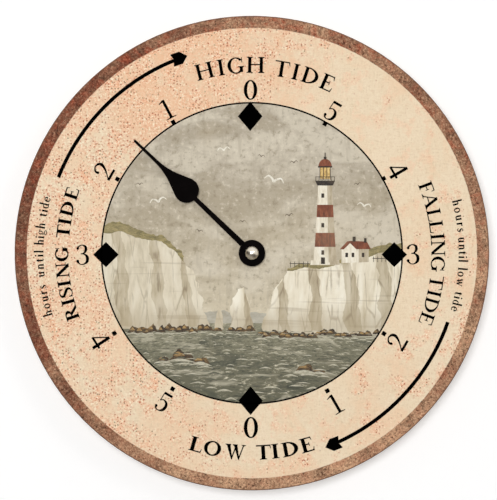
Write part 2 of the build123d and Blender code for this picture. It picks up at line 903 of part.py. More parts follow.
# Tide wheel: its hollow back rides on the set arbor, and its arbor carries the hand
tide_arbor_steps = (
    (tide_boss_radius, tide_wheel_front, inner_front - end_shake),
    (tide_arbor_radius, tide_wheel_front, hand_back),
    (hand_seat_radius, hand_back, hand_front),
    (cap_nut_thread_radius, hand_front, hand_front + cap_nut_thread_length),
)
tide_arbor = make_turned(hand_axis, tide_arbor_steps)
with BuildPart() as tide_wheel:
    add(tide_arbor)
    extrude(tide_gear.face(), amount=tide_gear.thickness)
    with BuildSketch(facing_plane(tide_wheel_back)):
        Circle(set_arbor_front_pivot + running_gap)
    extrude(amount=front_pivot_end + end_shake - tide_wheel_back, mode=Mode.SUBTRACT)
    with BuildSketch(hand_plane):
        Rectangle(hand_seat_radius * 2, hand_seat_radius * 2)
        Rectangle(hand_seat_radius * 2, hand_seat_flat * 2, mode=Mode.SUBTRACT)
    extrude(amount=hand_thickness, mode=Mode.SUBTRACT)
tide_wheel.part.label = "tide_wheel"

# Set pinion: a shaft from its front pivot through the bearing plate to the knob
set_shoulder = set_pinion_gear.front + post_end_gap - end_shake
set_shaft_steps = (
    (set_shaft_radius, knob_recess + knob_slot_depth, set_shoulder),
    (set_shaft_pivot, set_shoulder, set_pinion_gear.front + pivot_length),
)
set_shaft = make_turned(set_pinion_axis, set_shaft_steps)
with BuildPart() as set_pinion:
    add(set_shaft)
    extrude(set_pinion_gear.face(), amount=set_pinion_gear.thickness)
set_pinion.part.label = "set_pinion"

# Set knob: a grooved disc with a slot, pressed on the end of the shaft
with BuildPart() as set_knob:
    with BuildSketch(facing_plane(knob_recess, set_pinion_axis)):
        Circle(knob_radius)
        with PolarLocations(knob_radius, knob_grooves):
            Circle(knob_groove_radius, mode=Mode.SUBTRACT)
    extrude(amount=knob_thickness)
    with BuildSketch(facing_plane(knob_recess, set_pinion_axis)):
        Rectangle(knob_radius * 2, knob_slot_width)
    extrude(amount=knob_slot_depth, mode=Mode.SUBTRACT)
    with BuildSketch(facing_plane(knob_recess + knob_slot_depth, set_pinion_axis)):
        Circle(set_shaft_radius)
    extrude(amount=knob_thickness - knob_slot_depth, mode=Mode.SUBTRACT)
set_knob.part.label = "set_knob"


# Circuit board: a strip along the partition with a column at its left end
with BuildPart() as circuit_board:
    with BuildSketch(facing_plane(pcb_back)):
        with Locations((0, pcb_bottom + pcb_strip_width / 2)):
            Rectangle(pcb_half_length * 2, pcb_strip_width)
        with Locations((pcb_column_middle, (pcb_bottom + pcb_column_top) / 2)):
            Rectangle(pcb_column_width, pcb_column_top - pcb_bottom)
        with Locations(*peg_places):
            Circle(peg_pin_radius + seat_gap, mode=Mode.SUBTRACT)
    extrude(amount=pcb_thickness)
circuit_board.part.label = "circuit_board"

# Chip under a drop of epoxy, on the front of the circuit board
chip_centre = (pcb_column_middle, chip_rise)
with BuildPart() as timer_chip:
    with BuildSketch(facing_plane(pcb_front, chip_centre)):
        Circle(chip_radius)
    extrude(amount=chip_height)
    fillet(timer_chip.faces().sort_by(Axis.Y)[0].edges(), chip_fillet)
timer_chip.part.label = "timer_chip"

# Crystal in a metal can that lies on the circuit board
crystal_bottom = chip_rise + chip_radius + crystal_radius
crystal_plane = Plane(
    origin=(pcb_column_middle + chip_radius, -(pcb_front + crystal_radius + crystal_gap), crystal_bottom),
    z_dir=(0, 0, 1),
)
with BuildPart() as quartz_crystal:
    with BuildSketch(crystal_plane):
        Circle(crystal_radius)
    extrude(amount=crystal_length)
    fillet(quartz_crystal.edges().filter_by(GeomType.CIRCLE), crystal_end_fillet)
quartz_crystal.part.label = "quartz_crystal"


# Battery: the cell lies across the bay, its positive cap to the right
cell_left = -(cell_length + cap_length) / 2
cell_plane = Plane(origin=(cell_left, -cell_depth, cell_height), x_dir=(0, 1, 0), z_dir=(1, 0, 0))
with BuildPart() as battery_cell:
    with BuildSketch(cell_plane):
        Circle(cell_radius)
    extrude(amount=cell_length)
    fillet(battery_cell.edges().filter_by(GeomType.CIRCLE), cell_edge_fillet)
battery_cell.part.label = "battery_cell"
with BuildPart() as battery_cap:
    with BuildSketch(cell_plane.offset(cell_length)):
        Circle(cap_radius)
    extrude(amount=cap_length)
battery_cap.part.label = "battery_cap"


# The contacts start at the circuit board's front and are centred on the cell
contact_length = (cell_depth - pcb_front) * 2


def make_contact_strip(side):
    """Plate at one end of the bay, with an arm past the partition and a solder tab on the circuit board."""
    middle = side * (inner_half - contact_thickness / 2)
    arm_top = pcb_bottom + pcb_strip_width / 2 + contact_tab_height / 2
    with BuildPart() as contact:
        with BuildSketch(facing_plane(pcb_front, (middle, cell_height))):
            Rectangle(contact_thickness, contact_width)
        extrude(amount=contact_length)
        with BuildSketch(facing_plane(pcb_front, (middle, (cell_height + arm_top) / 2))):
            Rectangle(contact_thickness, arm_top - cell_height)
        extrude(amount=contact_arm_width)
        tab_centre = (side * (inner_half - contact_tab_length / 2), arm_top - contact_tab_height / 2)
        with BuildSketch(facing_plane(pcb_front, tab_centre)):
            Rectangle(contact_tab_length, contact_tab_height)
        extrude(amount=contact_thickness)
    return contact.part


# Positive contact, with a dimple that meets the cap of the battery
cap_end = cell_left + cell_length + cap_length
positive_strip = make_contact_strip(1)
dimple_start = Plane(origin=(cap_end + contact_end_gap, -cell_depth, cell_height), z_dir=(1, 0, 0))
with BuildPart() as positive_contact:
    add(positive_strip)
    with BuildSketch(dimple_start):
        Circle(contact_dimple_radius / 2)
    with BuildSketch(dimple_start.offset(inner_half - contact_thickness - cap_end - contact_end_gap)):
        Circle(contact_dimple_radius)
    loft()
positive_contact.part.label = "positive_contact"

# Negative contact, with a bowed leaf that meets the flat end of the battery
negative_strip = make_contact_strip(-1)
plate_face = -inner_half + contact_thickness
leaf_crest = cell_left - contact_end_gap
leaf_back = -(pcb_front + contact_thickness)
leaf_front = -(pcb_front + contact_length - contact_thickness)
leaf_middle = (leaf_back + leaf_front) / 2
with BuildPart() as negative_contact:
    add(negative_strip)
    with BuildSketch(Plane.XY.offset(cell_height - contact_leaf_width / 2)):
        with BuildLine():
            ThreePointArc((plate_face, leaf_back), (leaf_crest, leaf_middle), (plate_face, leaf_front))
            Line((plate_face, leaf_front), (plate_face, leaf_back))
        make_face()
    extrude(amount=contact_leaf_width)
negative_contact.part.label = "negative_contact"


# Bushing: flange inside the case, threaded barrel through the board
with BuildPart() as threaded_bushing:
    with BuildSketch(facing_plane(inner_front)):
        Circle(bushing_radius)
    extrude(amount=bushing_front - inner_front)
    chamfer(threaded_bushing.faces().sort_by(Axis.Y)[0].edges(), bushing_end_chamfer)
    with BuildSketch(facing_plane(inner_front)):
        Circle(bushing_flange_radius)
    extrude(amount=bushing_flange)
    with BuildSketch(facing_plane(inner_front)):
        Circle(bushing_bore)
    extrude(amount=bushing_front - inner_front, mode=Mode.SUBTRACT)
threaded_bushing.part.label = "threaded_bushing"

# Hanger: plate under the movement, web over its top, and a flange with a keyhole at the wall
web_bottom = case_width / 2 + web_gap
web_top = web_bottom + bracket_thickness
flange_top = web_top + flange_height
bracket_bends = (
    ((0, -case_depth, web_bottom), bend_radius),
    ((0, -bracket_thickness, web_top), bend_radius),
    ((0, 0, web_bottom), bend_radius + bracket_thickness),
    ((0, -bracket_front, web_top), bend_radius + bracket_thickness),
)
with BuildPart() as hanger_bracket:
    with BuildSketch(Plane.YZ.offset(-bracket_width / 2)):
        with BuildLine():
            Polyline(
                (-case_depth, -bracket_below),
                (-bracket_front, -bracket_below),
                (-bracket_front, web_top),
                (-bracket_thickness, web_top),
                (-bracket_thickness, flange_top),
                (0, flange_top),
                (0, web_bottom),
                (-case_depth, web_bottom),
                close=True,
            )
        make_face()
    extrude(amount=bracket_width)
    for bend, radius in bracket_bends:
        fillet(hanger_bracket.edges().filter_by(Axis.X).sort_by_distance(bend)[0], radius)
    fillet(hanger_bracket.edges().filter_by(Axis.Y).group_by(Axis.Z)[-1], bracket_corner)
    fillet(hanger_bracket.edges().filter_by(Axis.Y).group_by(Axis.Z)[0], bracket_corner)
    with BuildSketch(facing_plane(case_depth)):
        Circle(bushing_radius + seat_gap)
    extrude(amount=bracket_thickness, mode=Mode.SUBTRACT)
    with BuildSketch(facing_plane(0, (0, web_top + keyhole_above_web))):
        Circle(keyhole_radius)
        with Locations((0, keyhole_slot_rise / 2)):
            Rectangle(keyhole_slot_width, keyhole_slot_rise)
        with Locations((0, keyhole_slot_rise)):
            Circle(keyhole_slot_width / 2)
    extrude(amount=bracket_thickness, mode=Mode.SUBTRACT)
hanger_bracket.part.label = "hanger_bracket"


def make_washer(back, thickness, radius):
    """Flat washer round the bushing."""
    with BuildPart() as washer:
        with BuildSketch(facing_plane(back)):
            Circle(radius)
            Circle(bushing_radius + seat_gap, mode=Mode.SUBTRACT)
        extrude(amount=thickness)
    return washer


rubber_washer = make_washer(bracket_front, rubber_thickness, rubber_radius)
rubber_washer.part.label = "rubber_washer"
brass_washer = make_washer(face_front, brass_thickness, brass_radius)
brass_washer.part.label = "brass_washer"

# Nut that clamps the movement to the board
with BuildPart() as hex_nut:
    with BuildSketch(facing_plane(brass_front)):
        RegularPolygon(nut_width / 2, nut_sides, major_radius=False)
    extrude(amount=nut_height)
    chamfer(hex_nut.faces().sort_by(Axis.Y)[0].edges(), nut_chamfer)
    with BuildSketch(facing_plane(brass_front)):
        Circle(bushing_radius + seat_gap)
    extrude(amount=nut_height, mode=Mode.SUBTRACT)
hex_nut.part.label = "hex_nut"


# Hand: hub ring, neck, teardrop and thin tail, drawn along its own axis
flank_cos = cos(radians(hand_flank_angle))
flank_sin = sin(radians(hand_flank_angle))
flank_start = (hand_bulb_distance + hand_bulb_radius * flank_cos, hand_bulb_radius * flank_sin)
flank_end = (flank_start[0] + hand_flank_run * flank_sin, flank_start[1] - hand_flank_run * flank_cos)
tip_start = hand_length - hand_tip_width / 2
with BuildPart() as tide_hand:
    with BuildSketch(hand_plane):
        with BuildLine():
            Line((0, hand_neck_hub_width / 2), (hand_bulb_distance, hand_neck_bulb_width / 2))
            Line((hand_bulb_distance, hand_neck_bulb_width / 2), flank_start)
            Line(flank_start, flank_end)
            TangentArc(
                flank_end,
                (hand_tail_start, hand_tail_width / 2),
                tangent=(flank_sin, -flank_cos),
            )
            Line((hand_tail_start, hand_tail_width / 2), (tip_start, hand_tip_width / 2))
            CenterArc((tip_start, 0), hand_tip_width / 2, 0, right_angle)
            Line((hand_length, 0), (0, 0))
            Line((0, 0), (0, hand_neck_hub_width / 2))
        make_face()
        mirror(about=Plane.XZ)
        with Locations((hand_bulb_distance, 0)):
            Circle(hand_bulb_radius)
        Circle(hand_hub_radius)
        with BuildSketch(mode=Mode.PRIVATE) as seat_hole:
            Circle(hand_seat_radius + seat_gap)
            Rectangle(hand_hub_radius, (hand_seat_flat + seat_gap) * 2, mode=Mode.INTERSECT)
        add(seat_hole.sketch, mode=Mode.SUBTRACT)
    extrude(amount=hand_thickness)
    chamfer(tide_hand.faces().sort_by(Axis.Y)[0].outer_wire().edges(), hand_edge_chamfer)
tide_hand.part.label = "tide_hand"

# Domed cap nut on the end of the arbor
dome_rise = cap_nut_height - cap_nut_rim
dome_radius = (cap_nut_radius**2 + dome_rise**2) / (2 * dome_rise)
with BuildPart() as cap_nut:
    with BuildSketch(facing_plane(hand_front)):
        Circle(cap_nut_radius)
    extrude(amount=cap_nut_height)
    with Locations((0, dome_radius - hand_front - cap_nut_height, 0)):
        Sphere(dome_radius, mode=Mode.INTERSECT)
    with BuildSketch(facing_plane(hand_front)):
        Circle(cap_nut_thread_radius + seat_gap)
    extrude(amount=cap_nut_thread_length + end_shake, mode=Mode.SUBTRACT)
cap_nut.part.label = "cap_nut"

pieces = (
    clock_board,
    printed_face,
    movement_case,
    rear_cover,
    bearing_plate,
    bearing_plate_screws,
    stator,
    stator_screws,
    coil_core,
    coil_bobbin,
    coil_winding,
    rotor_magnet,
    rotor_pinion,
    first_reduction_wheel,
    second_reduction_wheel,
    third_reduction_wheel,
    centre_wheel,
    clutch_spring,
    set_arbor,
    intermediate_wheel,
    tide_wheel,
    set_pinion,
    set_knob,
    circuit_board,
    timer_chip,
    quartz_crystal,
    battery_cell,
    battery_cap,
    positive_contact,
    negative_contact,
    threaded_bushing,
    hanger_bracket,
    rubber_washer,
    brass_washer,
    hex_nut,
    tide_hand,
    cap_nut,
)
for piece in pieces:
    export_step(piece.part, f"parts/{piece.part.label}.step")
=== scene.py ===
import math
import random

import bmesh
import bpy
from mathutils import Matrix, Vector
from mathutils.geometry import delaunay_2d_cdt


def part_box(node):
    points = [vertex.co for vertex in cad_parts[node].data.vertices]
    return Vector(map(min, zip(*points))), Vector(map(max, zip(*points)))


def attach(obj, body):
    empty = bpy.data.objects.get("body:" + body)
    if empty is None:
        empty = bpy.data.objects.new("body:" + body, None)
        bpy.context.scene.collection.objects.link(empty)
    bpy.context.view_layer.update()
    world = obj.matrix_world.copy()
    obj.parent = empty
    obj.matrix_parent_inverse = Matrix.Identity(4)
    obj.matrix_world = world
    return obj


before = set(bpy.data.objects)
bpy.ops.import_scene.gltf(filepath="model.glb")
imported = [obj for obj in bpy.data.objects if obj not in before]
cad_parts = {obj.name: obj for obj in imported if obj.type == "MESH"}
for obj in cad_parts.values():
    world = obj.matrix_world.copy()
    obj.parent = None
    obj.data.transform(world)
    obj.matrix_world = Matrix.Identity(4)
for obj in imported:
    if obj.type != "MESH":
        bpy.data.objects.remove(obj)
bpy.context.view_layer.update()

# The photograph in pixels: its size, and the dial's centre and radius in it
PHOTO_WIDE, PHOTO_TALL = 497, 500
DIAL_ACROSS, DIAL_DOWN = 251.9, 253.1
DIAL_REACH = 237.4

# Sizes in millimetres, from the frame and from the photograph
MM = 0.001
BOARD_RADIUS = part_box("clock_board")[1].x / MM
FACE_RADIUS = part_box("printed_face")[1].x / MM
FACE_FRONT = -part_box("printed_face")[0].y / MM
PIXEL = BOARD_RADIUS / DIAL_REACH
BORDER_WIDTH = 7.85
PICTURE_RADIUS = 96.5
RING_LINE = 1.0
INK_THICKNESS = 0.03
LAYER_STEP = 0.015
LAYER_THICKNESS = 0.025
PICTURE_LAYERS = 12
SHEET_BITE = 0.01
HORIZON = -45.0
OUTSIDE = 110
ARROW_RADIUS = 207.7 * PIXEL


def operator(operation, swapped=False):
    """A Python operator that adds one Math node; swapped puts the other value first."""
    def act(channel, other):
        values = (other, channel) if swapped else (channel, other)
        return channel.finish.maths(operation, *values)

    return act


class Channel:
    """A socket in a finish, so that sums on it add Math nodes."""

    def __init__(self, finish, socket):
        self.finish = finish
        self.socket = socket

    __add__ = __radd__ = operator("ADD")
    __sub__ = operator("SUBTRACT")
    __rsub__ = operator("SUBTRACT", swapped=True)
    __mul__ = __rmul__ = operator("MULTIPLY")
    __truediv__ = operator("DIVIDE")
    __rtruediv__ = operator("DIVIDE", swapped=True)
    __pow__ = operator("POWER")
    __rpow__ = operator("POWER", swapped=True)
    larger = operator("MAXIMUM")
    smaller = operator("MINIMUM")
    logarithm = operator("LOGARITHM")

    def __abs__(self):
        return self.finish.maths("ABSOLUTE", self)

    def ripple(self, length):
        """A sine along this value, with waves of that length."""
        return self.finish.maths("SINE", self * (2 * math.pi / length))

    def output(self, name):
        return Channel(self.finish, self.socket.node.outputs[name])

    def rise(self, low, high):
        """0 below low, 1 above high, smooth between them; the other way round where high is below low."""
        if high < low:
            return 1 - self.rise(high, low)
        settings = {"interpolation_type": "SMOOTHSTEP", "clamp": True}
        sockets = {"Value": self, "From Min": low, "From Max": high}
        return self.finish.node("ShaderNodeMapRange", settings, sockets)


class Finish:
    """A material, and the words that its nodes are made with. Its colour is laid on coat by coat."""

    def __init__(self, name, world=None):
        self.material = world or bpy.data.materials.new(name)
        self.material.use_nodes = True
        self.tree = self.material.node_tree
        self.tree.nodes.clear()
        if world is None:
            coordinates = self.node("ShaderNodeTexCoord").output("Object")
            self.place = self.vector("MULTIPLY", coordinates, (1 / MM, 1 / MM, 1 / MM))
            self.x, self.y, self.z = self.split(self.place)
            self.radius = distance(self.x, self.z)

    def node(self, kind, settings=None, sockets=None, output=0):
        """A node of that kind: its settings first, then the values or links of its sockets."""
        made = self.tree.nodes.new(kind)
        for name, value in (settings or {}).items():
            if name == "stops":
                set_stops(made.color_ramp, value)
            else:
                setattr(made, name, value)
        for name, value in (sockets or {}).items():
            if isinstance(value, Channel):
                self.tree.links.new(value.socket, made.inputs[name])
            else:
                made.inputs[name].default_value = value
        return Channel(self, made.outputs[output]) if len(made.outputs) else None

    def maths(self, operation, *values):
        return self.node("ShaderNodeMath", {"operation": operation}, dict(enumerate(values)))

    def vector(self, operation, first, second):
        return self.node("ShaderNodeVectorMath", {"operation": operation}, {0: first, 1: second})

    def stretched(self, x, y, z):
        return self.vector("MULTIPLY", self.place, (x, y, z))

    def point(self, x, y, z=0.0):
        return self.node("ShaderNodeCombineXYZ", None, {0: x, 1: y, 2: z})

    def split(self, vector):
        parts = self.node("ShaderNodeSeparateXYZ", None, {0: vector})
        return parts, parts.output("Y"), parts.output("Z")

    def grain(self, size, place=None, detail=2.0, roughness=0.5, distortion=0.0):
        """Noise with lumps about that many millimetres across; place may be how far they are squeezed."""
        if isinstance(place, tuple):
            place = self.stretched(*place)
        sockets = {
            "Vector": place or self.place,
            "Scale": 1 / size,
            "Detail": detail,
            "Roughness": roughness,
            "Distortion": distortion,
        }
        return self.node("ShaderNodeTexNoise", None, sockets)

    def cells(self, size, place=None, feature="F1", jitter=1.0, dimensions="3D"):
        settings = {"feature": feature, "voronoi_dimensions": dimensions}
        sockets = {"Vector": place or self.place, "Scale": 1 / size, "Randomness": jitter}
        return self.node("ShaderNodeTexVoronoi", settings, sockets)

    def chances(self, cell):
        """Two random numbers for each cell."""
        pick = self.node("ShaderNodeSeparateColor", None, {0: cell.output("Color")})
        return pick, pick.output("Green")

    def dots(self, spacing, radius, share):
        """Uneven dots on the face, one in each cell that chance picks, and a random number for each."""
        wobble = self.vector("MULTIPLY", self.grain(radius * 1.6).output("Color"), (radius, radius, 0))
        place = self.vector("ADD", self.point(self.x, self.z), wobble)
        cell = self.cells(spacing, place, dimensions="2D")
        pick, hue = self.chances(cell)
        edge = radius / spacing
        return cell.rise(edge * 1.25, edge * 0.75) * (share - pick).rise(-0.02, 0.02), hue

    def near(self, across, upward, close, reach):
        """1 within close of a place on the face and 0 beyond reach, all as shares of the board's radius."""
        away = distance(self.x - across * BOARD_RADIUS, self.z - upward * BOARD_RADIUS)
        return away.rise(reach * BOARD_RADIUS, close * BOARD_RADIUS)

    def line(self, value, half):
        """1 where the value lies within half of nought, and soft at the edges."""
        soft = 0.07
        return abs(value).rise(half + soft, half - soft)

    def seen(self):
        """1 where the camera sees this straight or mirrored, and 1 where mirrored only."""
        path = self.node("ShaderNodeLightPath")
        mirrored = path.output("Is Glossy Ray").larger(path.output("Is Transmission Ray"))
        return path.output("Is Camera Ray").larger(mirrored), mirrored

    def mix(self, first, second, share):
        """One colour changing to another as share goes from 0 to 1."""
        settings = {"data_type": "RGBA", "blend_type": "MIX", "clamp_factor": True}
        return self.node("ShaderNodeMix", settings, {0: share, 6: first, 7: second}, 2)

    def between(self, first, second, share):
        """A colour between two written ones."""
        return self.mix(tint(*first), tint(*second), share)

    def ground(self, first, second, share):
        """The first coat: one written colour changing to another."""
        self.colour = self.between(first, second, share)

    def cover(self, colour, share):
        """A coat over what is there, as thick as share says."""
        self.colour = self.mix(self.colour, colour, share)

    def lay(self, red, green, blue, share):
        """A coat of one written colour."""
        self.cover(tint(red, green, blue), share)

    def ramp(self, value, *stops):
        return self.node("ShaderNodeValToRGB", {"stops": stops}, {0: value})

    def tones(self, value, low, middle, high, dark, plain, light):
        """Three written tones, each at its own value."""
        self.colour = self.ramp(value, (low, tint(*dark)), (middle, tint(*plain)), (high, tint(*light)))

    def surface(self, roughness, relief, **constants):
        """The finished surface; relief is a height in millimetres."""
        bump = self.node("ShaderNodeBump", None, {"Height": relief, "Distance": MM})
        sockets = {"Base Color": self.colour, "Roughness": roughness, "Normal": bump}
        sockets.update({name.replace("_", " "): value for name, value in constants.items()})
        shader = self.node("ShaderNodeBsdfPrincipled", None, sockets)
        self.node("ShaderNodeOutputMaterial", None, {"Surface": shader})
        return self.material

    def aged(self, roughness, relief):
        """The finished surface of a paint, with brown specks and a faint stain."""
        specks = self.grain(0.9, detail=2).rise(0.66, 0.74) * self.grain(24).rise(0.42, 0.62)
        self.lay(120, 104, 82, 0.45 * specks)
        self.lay(190, 172, 140, 0.16 * self.grain(40, detail=3).rise(0.52, 0.72))
        return self.surface(roughness, relief, Specular_IOR_Level=0.3)


def distance(first, second):
    return (first * first + second * second) ** 0.5


def set_stops(ramp, stops):
    while len(ramp.elements) < len(stops):
        ramp.elements.new(1.0)
    for element, (position, colour) in zip(ramp.elements, stops):
        element.position = position
        element.color = colour


def tint(red, green, blue):
    """A colour as a screen shows it, 0 to 255, in the linear values that nodes take."""
    def linear(value):
        share = value / 255
        return share / 12.92 if share <= 0.04045 else ((share + 0.055) / 1.055) ** 2.4

    return (linear(red), linear(green), linear(blue), 1.0)


# Finishes of the printed face
def make_ink():
    """Black ink, greyer where it printed thin."""
    ink = Finish("printed_ink")
    thin = ink.grain(0.35, detail=3).rise(0.60, 0.78)
    wear = ink.grain(14, detail=3).rise(0.55, 0.75)
    ink.ground((2, 2, 2), (22, 18, 16), thin * (0.2 + 0.5 * wear))
    return ink.surface(0.62 + 0.1 * thin, 0.004 * ink.grain(0.5, detail=2), Specular_IOR_Level=0.0)


def make_parchment():
    """Aged parchment with a peach flush and rusty dots, inside a mottled copper-brown border."""
    paper = Finish("parchment_print")
    lean = (0.25 * paper.z - 0.92 * paper.x) / BOARD_RADIUS
    clouds = paper.grain(34, detail=4, roughness=0.6, distortion=0.5)
    mottle = paper.grain(2.6, detail=4, roughness=0.65)
    mingled = 0.5 * clouds + 0.5 * mottle
    paper.ground((240, 220, 190), (235, 213, 181), mingled.rise(0.38, 0.62))
    worn = paper.radius.rise(0.80 * BOARD_RADIUS, 0.93 * BOARD_RADIUS)
    paper.lay(242, 205, 170, 0.60 * (clouds + 0.06 * lean + 0.03 * worn).rise(0.44, 0.64))
    warmed = paper.near(-0.26, 0.86, 0.15, 0.75)
    paper.lay(242, 180, 138, 0.46 * warmed * mingled.rise(0.34, 0.58))
    sponge = paper.grain(13, detail=5, roughness=0.62)
    paper.lay(243, 202, 168, 0.45 * sponge.rise(0.50, 0.62))
    spared = paper.near(0.52, 0.58, 0.26, 0.52).larger(0.6 * paper.near(0.16, -0.85, 0.10, 0.50))
    crowd = (sponge + 0.09 * lean + 0.05 * worn + 0.03 - 0.13 * spared).rise(0.46, 0.62)
    thick = paper.grain(17, detail=4, roughness=0.6).rise(0.50, 0.64) * crowd
    flush = paper.grain(5, detail=4, roughness=0.65).rise(0.42, 0.60) * crowd
    paper.lay(242, 184, 146, (0.44 + 0.36 * thick) * flush)
    stipple = paper.grain(1.25, detail=3, roughness=0.7, distortion=0.6)
    paper.lay(255, 240, 214, stipple.rise(0.47, 0.36) * (0.25 + 0.75 * crowd))
    paper.lay(190, 102, 72, stipple.rise(0.55, 0.66) * (0.10 + 0.55 * crowd + 0.30 * thick))
    spots, hue = paper.dots(2.0, 0.46, 0.02 + 0.28 * crowd + 0.34 * thick)
    rusty = paper.between((172, 82, 52), (132, 108, 78), hue.rise(0.62, 0.80))
    paper.cover(rusty, (0.34 + 0.50 * crowd) * spots)
    weave = paper.grain(1.0, (1, 1, 0.22)) + paper.grain(1.0, (0.22, 1, 1))
    paper.lay(216, 190, 154, weave.rise(1.00, 1.32) * 0.45)
    inside, soft = BOARD_RADIUS - BORDER_WIDTH, 0.22
    edge = paper.radius + 0.35 * (paper.grain(2.2) - 0.5)
    face = paper.colour
    lay_border(paper)
    paper.colour = paper.mix(face, paper.colour, edge.rise(inside - soft, inside + soft))
    relief = 0.018 * paper.grain(0.8, detail=3) + 0.006 * weave
    return paper.surface(0.58 + 0.12 * mottle, relief, Specular_IOR_Level=0.10)


def lay_border(paper):
    """Copper brown: dark and red on the left, palest at the bottom, with rusty and umber scuffs."""
    rim = 1.4
    across = paper.x / BOARD_RADIUS
    upward = paper.z / BOARD_RADIUS
    steep = upward * upward
    cloud = paper.grain(22, detail=3) - 0.5
    fade = (0.29 + 0.17 * across - 0.13 * upward + 0.27 * steep * steep + 0.9 * cloud).rise(0.0, 1.0)
    paper.ground((112, 62, 44), (208, 166, 130), fade)
    patches = paper.grain(8, detail=5, roughness=0.66, distortion=0.8)
    paper.lay(172, 78, 50, patches.rise(0.48, 0.66) * (0.42 + 0.05 * fade + 0.24 * upward))
    paper.lay(104, 78, 58, patches.rise(0.47, 0.37) * 0.55)
    embers = paper.grain(2.2, detail=3, roughness=0.7, distortion=0.8)
    paper.lay(182, 94, 60, embers.rise(0.52, 0.68) * 0.22)
    grit = paper.grain(1.3, detail=3, roughness=0.72, distortion=0.8)
    paper.lay(236, 194, 156, grit.rise(0.51, 0.66) * (0.24 + 0.68 * fade))
    paper.lay(54, 27, 18, grit.rise(0.48, 0.34) * 0.86)
    paper.lay(96, 64, 48, 0.12 * paper.radius.rise(FACE_RADIUS - rim, FACE_RADIUS))


# Brushed paints of the picture: light, plain and dark tones, grain in millimetres, how far the grain is
# squeezed along x, y and z, share of brush hairs
PAINTS = {
    "painted_far_coast": ((190, 184, 168), (178, 172, 156), (166, 158, 140), 7, (1, 1, 2), 0.3),
    "painted_turf": ((176, 160, 112), (144, 132, 90), (108, 100, 70), 5, (1, 1, 2.4), 0.4),
    "painted_tower": ((246, 240, 224), (236, 227, 206), (214, 202, 178), 4, (1.6, 1, 0.4), 0.3),
    "painted_tower_shade": ((206, 194, 170), (190, 176, 150), (166, 150, 124), 4, (1.6, 1, 0.4), 0.3),
    "painted_russet": ((150, 88, 60), (124, 68, 46), (92, 50, 36), 3, (2, 1, 0.6), 0.3),
    "painted_dark": ((74, 62, 50), (50, 42, 35), (30, 26, 23), 3, (1, 1, 1), 0.3),
    "painted_lamp_glass": ((236, 206, 140), (214, 178, 110), (170, 134, 80), 2, (1, 1, 1), 0.3),
    "painted_reef": ((134, 106, 66), (74, 60, 44), (38, 32, 27), 3.4, (1, 1, 1.5), 0.35),
    "painted_reef_light": ((186, 154, 100), (152, 122, 76), (112, 90, 60), 2.6, (1, 1, 1.6), 0.4),
    "painted_foam": ((214, 208, 188), (184, 178, 156), (144, 140, 120), 2.2, (1, 1, 2), 0.4),
    "painted_trough": ((112, 110, 92), (92, 92, 76), (72, 72, 60), 2.6, (1, 1, 2.4), 0.4),
    "painted_gull": ((246, 242, 230), (234, 228, 212), (204, 196, 178), 2, (1, 1, 1), 0.3),
    "painted_far_gull": ((126, 114, 96), (104, 92, 76), (82, 72, 60), 2, (1, 1, 1), 0.3),
}

# Chalks of the picture: light, plain and dark tones, and the tone of the seams
CHALKS = {
    "painted_far_chalk": ((232, 223, 202), (221, 210, 186), (198, 186, 160), (160, 146, 120)),
    "painted_near_chalk": ((245, 238, 219), (233, 223, 200), (205, 192, 164), (142, 122, 94)),
    "painted_chalk_shade": ((214, 203, 180), (196, 183, 156), (168, 152, 124), (120, 102, 78)),
}


def make_paint(name):
    """Three tones brushed into each other."""
    light, plain, dark, size, squeeze, bristle = PAINTS[name]
    paint = Finish(name)
    broad = paint.grain(size, squeeze, detail=5, roughness=0.6, distortion=0.5)
    hairs = paint.grain(size * 0.16, tuple(share ** 1.6 for share in squeeze), detail=3)
    paint.tones(broad * (1 - bristle) + hairs * bristle, 0.36, 0.50, 0.64, dark, plain, light)
    return paint.aged(0.55 + 0.2 * hairs, 0.02 * hairs + 0.01 * broad)


def make_chalk(name):
    """Chalk with upright fissures, level flint seams and hollows."""
    light, plain, dark, seam = CHALKS[name]
    chalk = Finish(name)
    faces = chalk.grain(13, (1, 1, 0.30), detail=5, roughness=0.6, distortion=0.6)
    strokes = chalk.grain(2.2, (1, 1, 0.20), detail=3)
    chalk.tones(faces * 0.75 + strokes * 0.25, 0.36, 0.49, 0.62, dark, plain, light)
    warped = chalk.vector("ADD", chalk.stretched(1, 1, 0.17), chalk.grain(9, detail=3).output("Color"))
    cracks = chalk.cells(6.5, warped, feature="DISTANCE_TO_EDGE").rise(0.055, 0.0)
    chalk.lay(*seam, 0.55 * cracks * chalk.grain(12).rise(0.38, 0.6))
    layers = chalk.grain(3.4, (0.05, 1, 1), detail=2, distortion=0.2).rise(0.62, 0.70)
    chalk.lay(*seam, 0.30 * layers)
    chalk.lay(172, 156, 126, 0.55 * chalk.z.rise(HORIZON + 16, HORIZON - 2))
    return chalk.aged(0.55 + 0.2 * strokes, 0.03 * strokes + 0.02 * faces)


